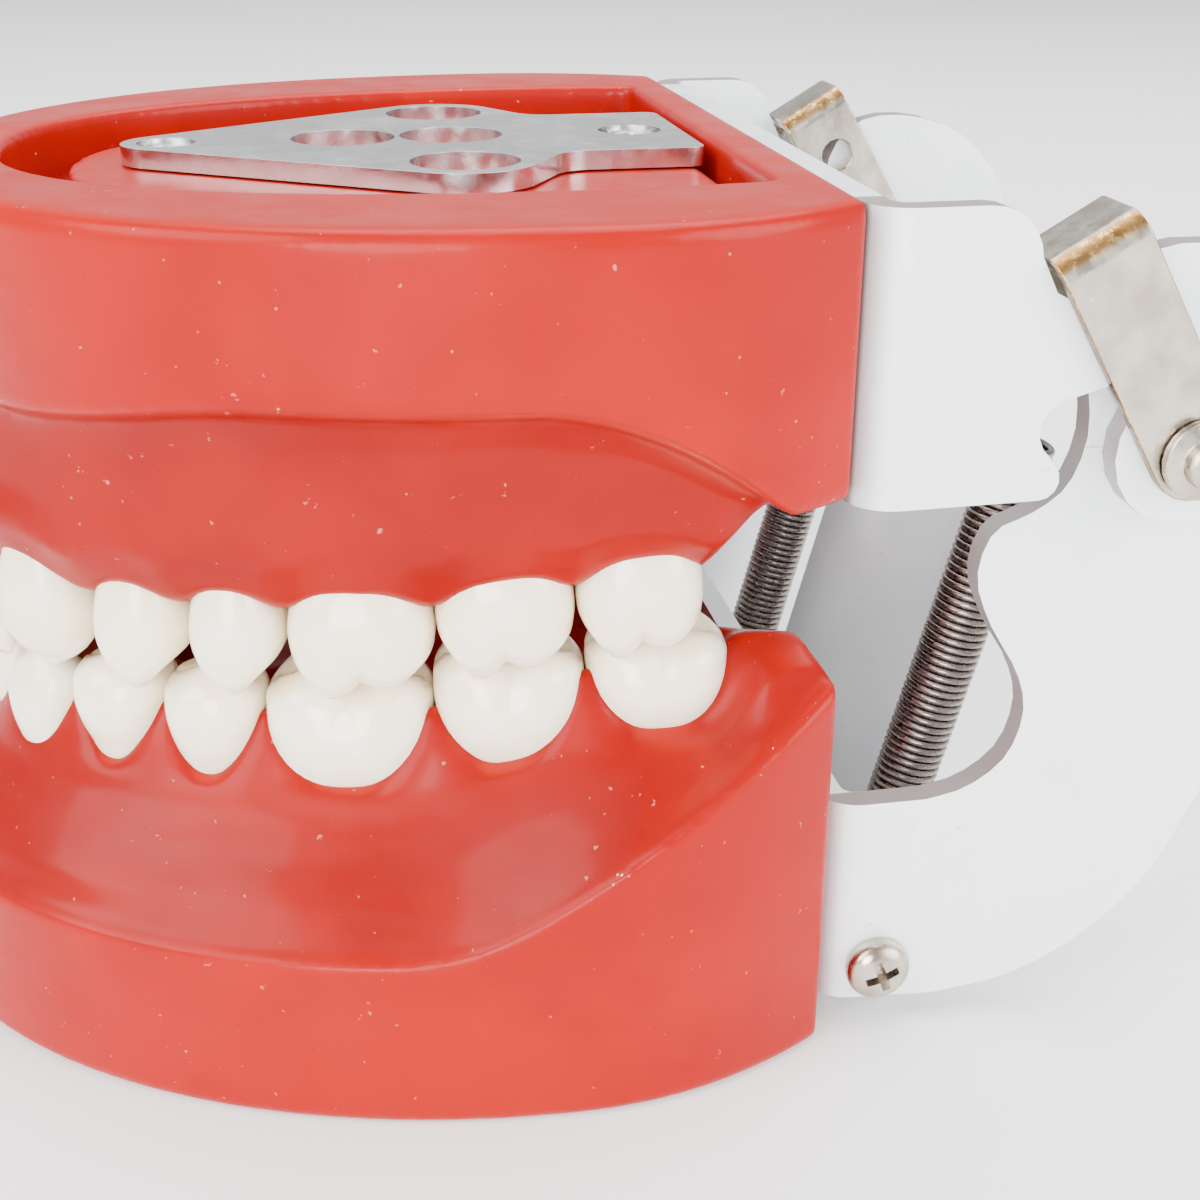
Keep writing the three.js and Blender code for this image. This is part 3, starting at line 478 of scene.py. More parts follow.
def outline(plan, rays, tuck=0.0):
    """A plan's outline, anticlockwise from the right rear corner, as x, y and wave."""
    inside = np.zeros(len(rays["wave"]))
    outside = np.full_like(inside, 40.0)
    for _ in range(30):
        middle = (inside + outside) / 2
        spot = rays["start"] + rays["out"] * middle[:, None]
        within = np.abs(spot[:, 0]) < half_at(plan, spot[:, 1])
        inside = np.where(within, middle, inside)
        outside = np.where(within, outside, middle)
    spot = rays["start"] + rays["out"] * (inside - tuck * rays["wave"])[:, None]
    left = np.column_stack([spot, rays["wave"]])
    rear_y = plan[5]
    y = left[-1, 1] + (rear_y - left[-1, 1]) * np.arange(1, SIDE_STEPS + 1) / SIDE_STEPS
    sides = np.column_stack([half_at(plan, y) - tuck, y, np.ones_like(y)])
    left = np.vstack([left, sides])
    right = left[1:][::-1] * np.array([-1, 1, 1])
    across = np.linspace(1, -1, REAR_STEPS + 1)[1:-1] * left[-1, 0]
    rear = np.column_stack([across, np.full_like(across, rear_y), np.ones_like(across)])
    return np.vstack([right, left, rear])


def level(plan, rays, height, tuck=0.0):
    """An outline at a height, which is a number or a function of x, y and wave."""
    flat = outline(plan, rays, tuck)
    z = height(*flat.T) if callable(height) else np.full(len(flat), float(height))
    return np.column_stack([flat[:, :2], z])


def plain_rays(centre_y):
    angle = np.linspace(0, math.pi / 2, 40)
    out = np.stack([np.sin(angle), -np.cos(angle)], 1)
    return {"start": np.tile([0.0, centre_y], (40, 1)), "out": out, "wave": np.ones(40)}


def plain_loft(name, levels):
    return loft(name, [level(plan, plain_rays(plan[2]), z) for plan, z in levels])


def mixed(low, high, share):
    return lambda *at: low(*at) + (high(*at) - low(*at)) * share


# Plans: half width, depth, centre y, power, half width at the rear, rear y.
LOWER_WALL = (38.5, FRONT_REACH - 18, -18, 2.0, 33, 0)
UPPER_WALL = (38.2, 46, -16, 2.2, 33, 0)


def inset(plan, by, rear_by=0.05):
    """A plan drawn in all round, and less at the rear."""
    half, depth, centre, power, rear_half, rear_y = plan
    return (half - by, depth - by, centre, power, rear_half - by, rear_y - rear_by)


def lower_border(y):
    return np.minimum(30.2, 13.5 + 0.62 * 2.2 * np.log1p(np.exp((y + 27) / 2.2)))


def lower_rear(x, y):
    return 0.5 * np.maximum(0, 27.4 - np.abs(x)) * smoothstep(-4, -1.5, y)


def lower_band(x, y, wave):
    return lower_border(y) - lower_rear(x, y)


def lower_neck(x, y, wave):
    """Where the lower gum meets the middle of each tooth."""
    neck = 22.8 + 4.0 * smoothstep(-33, -11, y) + 5.1 * smoothstep(-9.5, -3.5, y)
    return np.maximum(lower_border(y) + 0.9, neck) - lower_rear(x, y)


def lower_margin(x, y, wave):
    """The gum's edge, which climbs between the teeth and runs level behind the last one."""
    neck = 22.8 + 4.0 * smoothstep(-33, -11, y) + 0.9 * smoothstep(-9, -2, y)
    return np.maximum(lower_border(y) + 0.9, neck + 4.7 * wave) - lower_rear(x, y)


def lower_crest(x, y, wave):
    ridge = 2.3 * smoothstep(-10, -5, y)
    return 26.2 + 3 * smoothstep(-32, -10, y) + 0.8 * wave + ridge - lower_rear(x, y)


def upper_band(x, y, wave):
    front = 2.6 * smoothstep(38, 58, -y)
    return 52.9 - front - 0.038 * np.maximum(0, np.minimum(y, -4.7) + 22) ** 1.9


def upper_rear(y):
    return 7 * smoothstep(-9.5, -4, y)


def upper_margin(x, y, wave):
    neck = 37.9 + 2.1 * smoothstep(-32, -10, y) + 1.4 * smoothstep(50, 62, -y)
    return neck - 1.5 * wave + upper_rear(y)


def upper_crest(x, y, wave):
    return 36 + 1.8 * smoothstep(-32, -10, y) + upper_rear(y)


RECESS = (25.5, 40, -16, 2.3, 24.5, -3.6)
ISLAND = (20.6, 35.4, -16, 2.3, 19.6, -5)
RECESS_DEPTH = 1.8
MOAT_DEPTH = 5.0
GUM_VOXEL = 0.0004


def recess_tools(level_z, inward):
    """The pocket and the deeper channel in a base's outer face."""
    deep = level_z + inward * RECESS_DEPTH
    floor = level_z + inward * MOAT_DEPTH
    outside = level_z - inward
    pocket = plain_loft("pocket", [(RECESS, min(outside, deep)), (RECESS, max(outside, deep))])
    inner, outer = deep - 0.5 * inward, floor
    channel = plain_loft("channel", [(RECESS, min(inner, outer)), (RECESS, max(inner, outer))])
    island = plain_loft("island", [(ISLAND, min(inner, outer) - 1), (ISLAND, max(inner, outer) + 1)])
    return [pocket, cut(channel, [island])]


def mark_relief(piece, band, sign):
    """Notes how far each point is past the border of the sculpted gum, and how near it is to it; the gum material
    paints shade past the border and sparse glints near it.
    """
    points = np.empty(len(piece.data.vertices) * 3)
    piece.data.vertices.foreach_get("co", points)
    x, y, z = (points.reshape(-1, 3) - np.array([0, REAR_Y, 0])).T / MM
    past = (z - band(x, y, 0)) * sign
    outside = np.hypot(x / 30, np.minimum(0, y + 12) / 48) > 1
    for name, value in (
        ("relief_shade", smoothstep(-0.4, 1.2, past)),
        ("border", np.exp(-((past / 0.7) ** 2)) * outside),
    ):
        layer = piece.data.attributes.new(name, "FLOAT", "POINT")
        layer.data.foreach_set("value", value.astype(np.float32))


def cast(piece, body, node):
    """Gives a gum base the soft edges of a casting, its material and its place in the frame."""
    remesh = piece.modifiers.new("remesh", "REMESH")
    remesh.mode = "VOXEL"
    remesh.voxel_size = GUM_VOXEL
    apply_modifiers(piece)
    soften = piece.modifiers.new("soften", "SMOOTH")
    soften.factor = 0.5
    soften.iterations = 5
    apply_modifiers(piece)
    piece.data.polygons.foreach_set("use_smooth", [True] * len(piece.data.polygons))
    piece.data.materials.clear()
    piece.data.materials.append(GUM)
    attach(piece, body)
    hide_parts(node)


def make_lower_gum():
    rays = arch_rays(LOWER_PLACES)
    rings = [
        level(inset(LOWER_WALL, 0.5), rays, 0.02),
        level(LOWER_WALL, rays, 0.6),
        level(LOWER_WALL, rays, lower_band),
        level(inset(LOWER_WALL, 0.9, 0.2), rays, lambda *at: lower_band(*at) + 0.5),
        level((35.4, 50.8, -17, 2.1, 31.8, -0.4), rays, mixed(lower_band, lower_neck, 0.3)),
        level((33.4, 53, -13, 2.15, 31.3, -0.6), rays, mixed(lower_band, lower_neck, 0.55)),
        level((31.9, 54.6, -9, 2.25, 30.8, -0.8), rays, mixed(lower_band, lower_neck, 0.8)),
        level((30.9, 54.8, -8, 2.3, 30.3, -1.0), rays, lambda *at: lower_neck(*at) - 0.3),
        level((30.1, 54.5, -8, 2.3, 29.8, -1.2), rays, mixed(lower_neck, lower_margin, 0.55), 0.8),
        level((29.3, 54.0, -8, 2.3, 29.2, -1.4), rays, lower_margin, 1.5),
        level((28.2, 53.2, -8, 2.3, 28.1, -1.6), rays, lambda *at: lower_margin(*at) + 0.15, 1.1),
        level((26.6, 52.5, -8, 2.3, 26.2, -1.9), rays, lower_crest),
        level((24.8, 51.0, -8, 2.3, 24.4, -2.2), rays, lambda x, y, wave: lower_crest(x, y, 0)),
    ]
    tongue = plain_loft(
        "tongue",
        [
            ((17.5, 41, -8, 2.3, 17.5, 2), 13),
            ((19.0, 43, -8, 2.3, 19.0, 2), 17),
            ((19.8, 44, -8, 2.3, 19.8, 2), 24),
            ((21.4, 46.5, -8, 2.3, 21.4, 2), 40),
        ],
    )
    gum = loft("lower_gum", rings)
    cut(gum, [tongue, *recess_tools(0, 1)])
    cast(gum, "lower_jaw", "lower_gum_base")
    mark_relief(gum, lower_band, 1)


def make_upper_gum():
    rays = arch_rays(UPPER_PLACES)
    rings = [
        level((27.8, 53.4, -8, 2.35, 27.4, -1), rays, upper_crest),
        level((29.8, 55.8, -8, 2.35, 29.2, -0.9), rays, lambda *at: upper_margin(*at) - 0.1, 1.0),
        level((30.8, 56.8, -8, 2.35, 30, -0.7), rays, lambda *at: upper_margin(*at) + 0.5, 1.0),
        level((32.2, 57.4, -8, 2.35, 31.4, -0.5), rays, mixed(upper_margin, upper_band, 0.28)),
        level((33.0, 56.0, -8, 2.3, 31.8, -0.4), rays, mixed(upper_margin, upper_band, 0.5)),
        level((33.9, 54.0, -8.6, 2.3, 32.1, -0.3), rays, mixed(upper_margin, upper_band, 0.75)),
        level((35.6, 49.0, -12, 2.25, 32.4, -0.1), rays, mixed(upper_margin, upper_band, 0.94)),
        level(inset(UPPER_WALL, 1.0), rays, lambda *at: upper_band(*at) - 0.3),
        level(UPPER_WALL, rays, lambda *at: upper_band(*at) + 0.4),
        level(UPPER_WALL, rays, RIM_TOP - 0.9),
        level(inset(UPPER_WALL, 0.3), rays, RIM_TOP - 0.25),
        level(inset(UPPER_WALL, 0.9), rays, RIM_TOP - 0.02),
    ]
    vault = plain_loft(
        "vault",
        [
            ((21.4, 49.4, -8, 2.3, 21.4, 2), 28),
            ((20.6, 48, -8, 2.3, 20.6, 2), 38),
            ((19.2, 46, -8, 2.3, 19.2, 2), 43),
            ((16, 42, -8, 2.3, 16, 2), 47),
            ((10, 35, -8, 2.3, 10, 2), 50),
        ],
    )
    gum = loft("upper_gum", rings)
    cut(gum, [vault, *recess_tools(RIM_TOP, -1)])
    cast(gum, "upper_jaw", "upper_gum_base")
    mark_relief(gum, upper_band, -1)


# ---- springs ------------------------------------------------------------------------------------
WIRE_R = 0.3
COIL_R = 2.5 - WIRE_R
COIL_PITCH = 0.64
WIRE_SIDES = 10
TURN_STEPS = 24


def spring_axes(side):
    """The middles of a spring's lower and upper eyes, in drawing millimetres."""
    low = node_points(f"{side}_spring")
    rod = node_points("lower_spring_rod")
    upper = node_points("upper_spring_rod")
    x = (low[:, 0].min() + low[:, 0].max()) / 2
    lower_eye = (rod.min(0) + rod.max(0)) / 2
    upper_eye = (upper.min(0) + upper.max(0)) / 2
    return np.array([x, *lower_eye[1:]]), np.array([x, *upper_eye[1:]])


def spring_path(span, offset):
    """The wire's centre line in the spring's own frame: x sideways, y back and z along it. The lower
    eye is round the origin and the upper one round (0, offset, span)."""
    eye = 1.8 + WIRE_R
    start, end = 4.2, span - 5.1
    turns = round((end - start) / COIL_PITCH)
    path = []
    for t in np.linspace(math.radians(75), math.radians(360), 30):
        path.append((0.0, eye * math.cos(t), eye * math.sin(t)))
    for share in np.linspace(0, 1, 8)[1:-1]:
        path.append((0.0, eye + (offset - COIL_R - eye) * smoothstep(0, 1, share), start * share))
    count = turns * TURN_STEPS
    for i in range(count + 1):
        t = 2 * math.pi * i / TURN_STEPS
        z = start + (end - start) * i / count
        path.append((COIL_R * math.sin(t), offset - COIL_R * math.cos(t), z))
    for share in np.linspace(0, 1, 8)[1:-1]:
        y = offset - COIL_R + (COIL_R - eye) * smoothstep(0, 1, share)
        path.append((0.0, y, end + (span - end) * share))
    for t in np.linspace(math.pi, math.radians(-105), 30):
        path.append((0.0, offset + eye * math.cos(t), span + eye * math.sin(t)))
    return np.array(path, float)


def wire_mesh(name, path, radius):
    """A round wire along a path."""
    tangent = np.gradient(path, axis=0)
    tangent /= np.linalg.norm(tangent, axis=1)[:, None]
    side = np.array([1.0, 0.0, 0.0])
    rings = []
    for point, along in zip(path, tangent):
        side = side - along * side.dot(along)
        side /= np.linalg.norm(side)
        other = np.cross(along, side)
        angle = np.linspace(0, 2 * math.pi, WIRE_SIDES, endpoint=False)
        rings.append(point + radius * (np.outer(np.cos(angle), side) + np.outer(np.sin(angle), other)))
    return loft(name, rings)


def make_spring(side):
    lower, upper = spring_axes(side)
    reach = math.hypot(upper[1] - lower[1], upper[2] - lower[2])
    offset = 2.7
    span = math.sqrt(reach**2 - offset**2)
    tilt = math.atan2(upper[1] - lower[1], upper[2] - lower[2]) - math.atan2(offset, span)
    path = spring_path(span, offset)
    cos, sin = math.cos(tilt), math.sin(tilt)
    placed = np.stack(
        [
            path[:, 0] + lower[0],
            path[:, 1] * cos + path[:, 2] * sin + lower[1],
            path[:, 2] * cos - path[:, 1] * sin + lower[2],
        ],
        axis=1,
    )
    coil = wire_mesh(f"{side}_coil", placed, WIRE_R)
    coil.data.materials.append(SPRING_STEEL)
    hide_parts(f"{side}_spring", f"{side}_spring_hook")
    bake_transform(coil)


# ---- metal pieces -------------------------------------------------------------------------------
def body_of_node(node):
    for body, members in frame["record"]["behaviour"]["bodies"].items():
        if node in members:
            return body
    raise KeyError(node)


def smooth_by_angle(piece):
    """Smooth shading that keeps flat faces flat and creases sharp."""
    piece.data.polygons.foreach_set("use_smooth", [True] * len(piece.data.polygons))
    with bpy.context.temp_override(object=piece, active_object=piece, selected_editable_objects=[piece]):
        bpy.ops.object.shade_smooth_by_angle(angle=math.radians(35))
    weigh = piece.modifiers.new("weigh", "WEIGHTED_NORMAL")
    weigh.keep_sharp = True
    apply_modifiers(piece)


def bevelled_copy(node, width, material):
    """A copy of a CAD piece with softened edges, standing in for it."""
    mesh = frame["nodes"][node].data.copy()
    work = bmesh.new()
    work.from_mesh(mesh)
    bmesh.ops.remove_doubles(work, verts=work.verts, dist=2e-6)
    bmesh.ops.dissolve_limit(
        work, angle_limit=math.radians(1.5), verts=work.verts, edges=work.edges, delimit=set()
    )
    work.to_mesh(mesh)
    work.free()
    piece = add_object(f"{node}_finish", mesh)
    bevel = piece.modifiers.new("bevel", "BEVEL")
    bevel.width = width * MM
    bevel.segments = 3
    bevel.limit_method = "ANGLE"
    bevel.angle_limit = math.radians(38)
    apply_modifiers(piece)
    smooth_by_angle(piece)
    piece.data.materials.clear()
    piece.data.materials.append(material)
    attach(piece, body_of_node(node))
    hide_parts(node)
    return piece


def turned(name, profile, sides=48):
    """A solid turned about +Z from (radius, height) pairs that start and end on the axis."""
    angle = np.linspace(0, 2 * math.pi, sides, endpoint=False)
    rings = [
        np.column_stack([r * np.cos(angle), r * np.sin(angle), np.full(sides, z)])
        for r, z in profile[1:-1]
    ]
    piece = loft(name, rings)
    ends = {-2: profile[0][1], -1: profile[-1][1]}
    for index, z in ends.items():
        piece.data.vertices[len(piece.data.vertices) + index].co = to_frame((0, 0, z))
    return piece


def pan_profile(radius, high, shank, length):
    """A domed head with rounded edges over a plain shank."""
    dome = [
        (radius * math.cos(a), high * 0.35 + high * 0.65 * math.sin(a))
        for a in np.linspace(0, math.pi / 2, 10)[:-1]
    ]
    return [(0, -length), (shank, -length), (shank, 0), (radius * 0.97, 0), (radius, high * 0.15), *dome, (0, high)]


def cross_tool(name, radius, high):
    """A tapered cross that sinks into a screw's head."""
    tools = []
    for turn in (0, math.pi / 2):
        long, wide, depth = radius * 0.62, radius * 0.15, high * 0.75
        low = [(-long * 0.45, -wide * 0.6), (long * 0.45, -wide * 0.6), (long * 0.45, wide * 0.6), (-long * 0.45, wide * 0.6)]
        top = [(-long, -wide), (long, -wide), (long, wide), (-long, wide)]
        cos, sin = math.cos(turn), math.sin(turn)
        rings = [
            [(x * cos - y * sin, x * sin + y * cos, z) for x, y in ring]
            for ring, z in ((low, high - depth), (top, high + 0.2))
        ]
        tools.append(loft(f"{name}_{turn:.0f}", rings))
    return tools


def make_screw(node, outward, material, turn=0.3):
    """A cross-head screw where a CAD screw is. outward is the way its head faces."""
    points = node_points(node)
    low, high = points.min(0), points.max(0)
    axis = int(np.argmax(np.abs(outward)))
    sign = float(np.sign(outward[axis]))
    others = [k for k in range(3) if k != axis]
    radius = (high[others[0]] - low[others[0]]) / 2
    end = high[axis] if sign > 0 else low[axis]
    along = np.abs(points[:, axis] - end)
    wide = np.linalg.norm(points[:, others] - ((low + high) / 2)[others], axis=1) > radius * 0.9
    high_head = along[wide].max()
    shank = 0.55 * radius
    name = f"{node}_cross"
    screw = turned(name, pan_profile(radius, high_head, shank, (high - low)[axis] - high_head))
    cut(screw, cross_tool(name, radius, high_head))
    screw.data.materials.clear()
    screw.data.materials.append(material)
    seat = (low + high) / 2
    seat[axis] = end - sign * high_head
    facing = Vector(outward).normalized().to_track_quat("Z", "Y").to_matrix().to_4x4()
    spin = Matrix.Rotation(turn, 4, "Z")
    home = Matrix.Translation(Vector(to_frame((0, 0, 0))))
    screw.data.transform(Matrix.Translation(Vector(to_frame(seat))) @ facing @ spin @ home.inverted())
    smooth_by_angle(screw)
    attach(screw, body_of_node(node))
    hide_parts(node)


# ---- materials ----------------------------------------------------------------------------------
class Look:
    """A node material that is built up by adding nodes to a Principled shader."""

    def __init__(self, name, **sockets):
        self.material = bpy.data.materials.new(name)
        self.material.use_nodes = True
        self.tree = self.material.node_tree
        self.shader = self.tree.nodes["Principled BSDF"]
        for socket, value in sockets.items():
            self.shader.inputs[socket.replace("_", " ")].default_value = value
        self.place = self.add("ShaderNodeTexCoord").outputs["Object"]

    def add(self, kind, inputs=None, **properties):
        node = self.tree.nodes.new(kind)
        for name, value in properties.items():
            setattr(node, name, value)
        for name, value in (inputs or {}).items():
            if isinstance(value, bpy.types.NodeSocket):
                self.tree.links.new(value, node.inputs[name])
            else:
                node.inputs[name].default_value = value
        return node

    def noise(self, size, detail=4, stretch=(1, 1, 1), roughness=0.5):
        """Noise whose patches are about size millimetres across."""
        scaled = self.add("ShaderNodeMapping", {"Vector": self.place, "Scale": stretch})
        return self.add(
            "ShaderNodeTexNoise",
            {
                "Vector": scaled.outputs["Vector"],
                "Scale": 1 / (size * MM),
                "Detail": detail,
                "Roughness": roughness,
            },
        ).outputs["Fac"]

    def ramp(self, factor, low, high, start=0.0, end=1.0):
        """A value from start to end as factor goes from low to high."""
        return self.add(
            "ShaderNodeMapRange",
            {"Value": factor, "From Min": low, "From Max": high, "To Min": start, "To Max": end},
            interpolation_type="SMOOTHSTEP",
        ).outputs["Result"]

    def maths(self, operation, a, b):
        return self.add("ShaderNodeMath", {0: a, 1: b}, operation=operation).outputs["Value"]

    def mix(self, factor, a, b):
        """A colour between a and b."""
        inputs = {"Factor": factor, 6: a, 7: b}
        return self.add("ShaderNodeMix", inputs, data_type="RGBA").outputs[2]

    def parts(self, vector):
        return self.add("ShaderNodeSeparateXYZ", {"Vector": vector}).outputs

    def set(self, socket, value):
        self.tree.links.new(value, self.shader.inputs[socket])

    def bump(self, heights, strength=1.0):
        """Bumps from (height, millimetres) pairs, one over the other."""
        normal = None
        for height, depth in heights:
            inputs = {"Height": height, "Strength": strength, "Distance": depth * MM}
            if normal is not None:
                inputs["Normal"] = normal
            normal = self.add("ShaderNodeBump", inputs).outputs["Normal"]
        self.set("Normal", normal)


def rgb(red, green, blue):
    return (red, green, blue, 1.0)


def gum_material():
    look = Look("gum_resin", Specular_IOR_Level=0.12, Coat_Weight=0.06, Coat_Roughness=0.1)
    look.shader.inputs["Subsurface Weight"].default_value = 0.1
    look.shader.inputs["Subsurface Scale"].default_value = 0.002
    look.shader.inputs["Subsurface Radius"].default_value = (1.0, 0.1, 0.05)
    facing = look.parts(look.add("ShaderNodeNewGeometry").outputs["Normal"])["Z"]
    relief_shade = look.add("ShaderNodeAttribute", attribute_name="relief_shade").outputs["Fac"]
    border = look.add("ShaderNodeAttribute", attribute_name="border").outputs["Fac"]
    cloud = look.noise(14, detail=3)
    wall = look.mix(look.ramp(cloud, 0.35, 0.65), rgb(0.29, 0.0012, 0.0003), rgb(0.34, 0.0025, 0.0006))
    # painted shade: past the border the sculpted gum gets this darker red, as if it lay in shade
    deep = look.mix(look.ramp(cloud, 0.35, 0.65), rgb(0.23, 0.0012, 0.0004), rgb(0.275, 0.0025, 0.0006))
    base = look.mix(relief_shade, wall, deep)
    lit = look.mix(look.ramp(facing, 0.75, 1.0, 0.0, 0.5), base, rgb(0.42, 0.014, 0.005))
    # painted glints: sparse pale specks, thickest near the border, stand in for small highlights on the glossy gum
    sparse = look.ramp(look.noise(0.9, detail=2, roughness=0.8), 0.70, 0.76)
    glint_specks = look.maths("MULTIPLY", sparse, look.maths("MAXIMUM", border, 0.25))
    look.set("Base Color", look.mix(glint_specks, lit, rgb(0.95, 0.55, 0.38)))
    wipe = look.noise(5, detail=5, stretch=(1, 1, 4))
    look.set("Roughness", look.ramp(wipe, 0.3, 0.75, 0.28, 0.42))
    look.bump([(look.noise(9, detail=2), 0.10), (look.noise(0.5, detail=3), 0.005)])
    return look.material


def enamel_material():
    look = Look("enamel", Coat_Weight=0.5, Coat_Roughness=0.06, Subsurface_Weight=0.18, Subsurface_Scale=0.0015)
    look.shader.inputs["Subsurface Radius"].default_value = (1.0, 0.8, 0.55)
    groove = look.add("ShaderNodeAttribute", attribute_name="groove").outputs["Fac"]
    cloud = look.noise(3.5, detail=3)
    base = look.mix(look.ramp(cloud, 0.3, 0.7), rgb(0.98, 0.83, 0.60), rgb(0.99, 0.91, 0.75))
    # painted shade: the enamel turns a darker warm brown in the grooves and towards the neck
    deep = look.mix(look.ramp(groove, 0.15, 1.0, 0.0, 0.55), base, rgb(0.74, 0.56, 0.36))
    look.set("Base Color", deep)
    look.set("Roughness", look.ramp(look.noise(1.6), 0.3, 0.7, 0.2, 0.32))
    look.bump([(look.noise(2.2, detail=2), 0.05), (look.noise(0.35, detail=2, stretch=(1, 1, 0.3)), 0.004)])
    return look.material


def scratched(look, plain, marked):
    """A colour with sparse fine scratches and small dark nicks."""
    lines = look.noise(0.7, detail=5, stretch=(0.12, 1, 1), roughness=0.7)
    nicks = look.noise(1.1, detail=4, stretch=(1, 0.35, 1), roughness=0.65)
    both = look.maths("MAXIMUM", look.ramp(lines, 0.66, 0.72), look.ramp(nicks, 0.7, 0.74))
    return look.mix(look.maths("MULTIPLY", both, 0.5), plain, marked)


def bracket_material():
    """Pale satin sheet with painted grey shade on its bends, cut edges painted a darker warm brown as shade and
    reflected gum red, and a faint grain.
    """
    look = Look("pale_sheet", Metallic=0.2)
    normal = look.parts(look.add("ShaderNodeNewGeometry").outputs["Normal"])
    sideways = look.maths("ABSOLUTE", normal["X"], 0.0)
    cheek = look.maths("ABSOLUTE", look.parts(look.place)["X"], 0.0)
    cloud = look.noise(9, detail=4)
    base = look.mix(look.ramp(cloud, 0.3, 0.7), rgb(0.82, 0.86, 0.89), rgb(0.90, 0.92, 0.93))
    # painted shade: the bends are greyed
    bend = look.maths("MULTIPLY", look.ramp(sideways, 0.15, 0.6), look.ramp(sideways, 0.98, 0.7))
    shaded = look.mix(look.maths("MULTIPLY", bend, 0.45), base, rgb(0.42, 0.41, 0.42))
    # painted shade and reflection: the cheeks' cut edges are darkened to a warm brown
    edge = look.maths("MULTIPLY", look.ramp(cheek, 0.0290, 0.0293), look.ramp(sideways, 0.5, 0.25))
    cut_edge_shade = look.mix(look.maths("MULTIPLY", edge, 0.8), shaded, rgb(0.13, 0.075, 0.065))
    look.set("Base Color", scratched(look, cut_edge_shade, rgb(0.36, 0.37, 0.40)))
    look.set("Roughness", look.ramp(look.noise(4), 0.3, 0.7, 0.3, 0.45))
    grain = look.noise(0.5, detail=3, stretch=(1, 0.1, 1))
    look.bump([(grain, 0.01), (look.noise(7, detail=2), 0.06)])
    return look.material


def nickel_material(name, painted_light):
    """Polished plate with a yellow-brown reflection and glints painted on its bends and its cut edges painted dark
    as shade, both as strong as the second argument says.
    """
    look = Look(name, Metallic=1.0)
    normal = look.parts(look.add("ShaderNodeNewGeometry").outputs["Normal"])
    across = look.maths("ABSOLUTE", normal["X"], 0.0)
    outer = look.maths("ABSOLUTE", look.parts(look.place)["X"], 0.0)
    bend = look.maths("MULTIPLY", look.ramp(across, 0.12, 0.45), look.ramp(across, 0.985, 0.8))
    cloud = look.noise(3, detail=4)
    base = look.mix(look.ramp(cloud, 0.3, 0.7), rgb(0.38, 0.33, 0.27), rgb(0.56, 0.51, 0.44))
    # painted reflection: a yellow-brown band with painted glints on the bends
    glint = look.ramp(look.noise(0.8, detail=4, roughness=0.7), 0.52, 0.62)
    brown = look.mix(glint, rgb(0.36, 0.17, 0.035), rgb(0.80, 0.52, 0.18))
    bend_reflection = look.mix(look.maths("MULTIPLY", bend, painted_light), base, brown)
    # painted shade: the cut edges are darkened
    edge = look.maths("MULTIPLY", look.ramp(outer, 0.0337, 0.0339), look.ramp(across, 0.4, 0.2))
    cut_edge_shade = look.mix(look.maths("MULTIPLY", edge, painted_light), bend_reflection, rgb(0.09, 0.055, 0.04))
    look.set("Base Color", scratched(look, cut_edge_shade, rgb(0.85, 0.82, 0.78)))
    look.set("Roughness", look.ramp(look.noise(1.2), 0.3, 0.7, 0.2, 0.38))
    look.bump([(look.noise(1.0, detail=3), 0.03), (look.noise(5, detail=1), 0.12)])
    return look.material


def spring_material():
    look = Look("spring_steel", Metallic=1.0)
    cloud = look.noise(1.5)
    look.set("Base Color", look.mix(cloud, rgb(0.15, 0.115, 0.10), rgb(0.34, 0.29, 0.27)))
    look.set("Roughness", look.ramp(look.noise(0.6), 0.3, 0.7, 0.2, 0.36))
    look.bump([(look.noise(0.3, detail=2, stretch=(1, 1, 0.3)), 0.01)])
    return look.material


def plate_material():
    """Bright ground plate with fine lines along its length and small wear marks."""
    look = Look("bright_plate", Metallic=1.0)
    cloud = look.noise(6, detail=4)
    base = look.mix(look.ramp(cloud, 0.3, 0.7), rgb(0.60, 0.61, 0.62), rgb(0.82, 0.83, 0.84))
    look.set("Base Color", scratched(look, base, rgb(0.95, 0.93, 0.88)))
    look.set("Roughness", look.ramp(look.noise(2), 0.3, 0.7, 0.16, 0.3))
    look.bump([(look.noise(0.4, detail=3, stretch=(0.15, 1, 1)), 0.008), (look.noise(8, detail=1), 0.05)])
    return look.material


GUM = gum_material()
ENAMEL = enamel_material()
BRACKET = bracket_material()
NICKEL = nickel_material("nickel", 0.15)
CLIP_NICKEL = nickel_material("clip_nickel", 0.9)
SPRING_STEEL = spring_material()
PLATE_STEEL = plate_material()


# ---- stage --------------------------------------------------------------------------------------
def floor_material():
    look = Look("floor", Roughness=0.9)
    cloud = look.noise(300, detail=2)
    look.set("Base Color", look.mix(cloud, rgb(0.94, 0.94, 0.94), rgb(0.98, 0.98, 0.98)))
    return look.material


def add_floor():
    mesh = bpy.data.meshes.new("floor")
    size = 6.0
    corners = [(-size, -size, 0), (size, -size, 0), (size, size, 0), (-size, size, 0)]
    mesh.from_pydata(corners, [], [(0, 1, 2, 3)])
    floor = add_object("floor", mesh)
    floor.data.materials.append(floor_material())


def add_area(name, place, target, size, power):
    light = bpy.data.lights.new(name, "AREA")
    light.shape = "DISK"
    light.size = size
    light.energy = power
    lamp = add_object(name, light)
    lamp.location = place
    lamp.rotation_euler = (Vector(target) - Vector(place)).to_track_quat("-Z", "Y").to_euler()


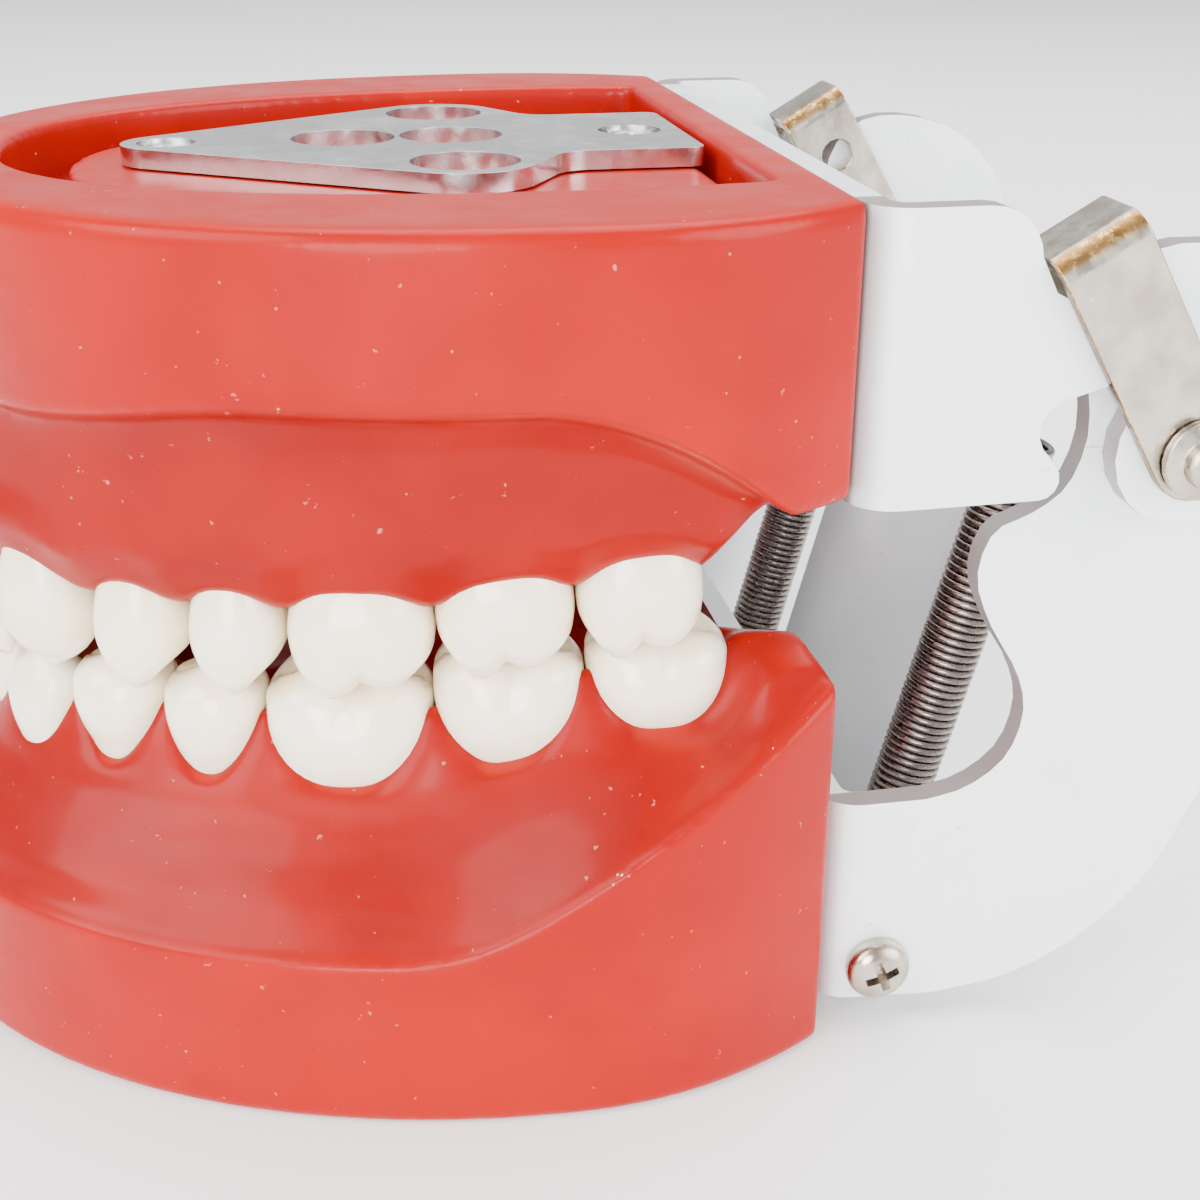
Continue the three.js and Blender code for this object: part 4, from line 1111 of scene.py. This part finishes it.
def add_lights():
    middle = (0, 0, 0.03)
    add_area("key", (0.4, -0.8, 0.65), middle, 0.8, 17.0)
    add_area("fill", (0.55, 0.6, 0.35), middle, 0.6, 10.0)
    add_area("top", (-0.2, 0.1, 0.8), middle, 0.8, 10.0)
    add_area("side", (0.75, -0.3, 0.22), (0, 0.04, 0.035), 0.4, 8.0)
    world = bpy.data.worlds.new("studio")
    bpy.context.scene.world = world
    world.use_nodes = True
    background = world.node_tree.nodes["Background"]
    background.inputs["Color"].default_value = (1.0, 1.0, 1.0, 1.0)
    background.inputs["Strength"].default_value = 0.9


CAMERA_PLACE = (134.9, -35.7, 84.2)
CAMERA_YAW = math.radians(10.4)
CAMERA_PITCH = math.radians(23.8)


def add_camera():
    data = bpy.data.cameras.new("camera")
    data.sensor_width = 36
    data.lens = 51
    data.clip_start = 0.01
    camera = add_object("camera", data)
    camera.location = to_frame(CAMERA_PLACE)
    look = Vector((-math.cos(CAMERA_YAW), math.sin(CAMERA_YAW), -math.tan(CAMERA_PITCH)))
    camera.rotation_euler = look.to_track_quat("-Z", "Y").to_euler()
    bpy.context.scene.camera = camera


# ---- assembly -----------------------------------------------------------------------------------
def make_metal():
    for jaw in ("upper", "lower"):
        bevelled_copy(f"{jaw}_bracket", 0.22, BRACKET)
        bevelled_copy(f"{jaw}_mounting_plate", 0.18, PLATE_STEEL)
        frame["nodes"][f"{jaw}_spring_rod"].data.materials[0] = NICKEL
        for end, turn in (("front", 0.4), ("rear", 1.1)):
            outward = (0, 0, 1 if jaw == "upper" else -1)
            make_screw(f"{jaw}_plate_screw_{end}", outward, PLATE_STEEL, turn)
        for side, turn in (("left", 0.2), ("right", 0.9)):
            make_screw(f"{jaw}_bracket_screw_{side}", (0, 1, 0), NICKEL, turn)
    bevelled_copy("spring_guard", 0.12, BRACKET)
    for side, sign in (("left", 1), ("right", -1)):
        bevelled_copy(f"{side}_locking_clip", 0.16, CLIP_NICKEL)
        bevelled_copy(f"{side}_hinge_rivet", 0.1, NICKEL)
        make_screw(f"{side}_rod_screw", (sign, 0, 0), NICKEL, 0.35)


def make_teeth():
    for jaw, places in (("upper", UPPER_PLACES), ("lower", LOWER_PLACES)):
        for place in places:
            for side in ("left", "right"):
                make_tooth(jaw, side, place)


add_camera()
add_floor()
add_lights()
make_lower_gum()
make_upper_gum()
make_teeth()
make_metal()
for spring_side in ("left", "right"):
    make_spring(spring_side)


def plain(bounds):
    """Bounds as plain lists of numbers."""
    return [[float(value) for value in corner] for corner in bounds]
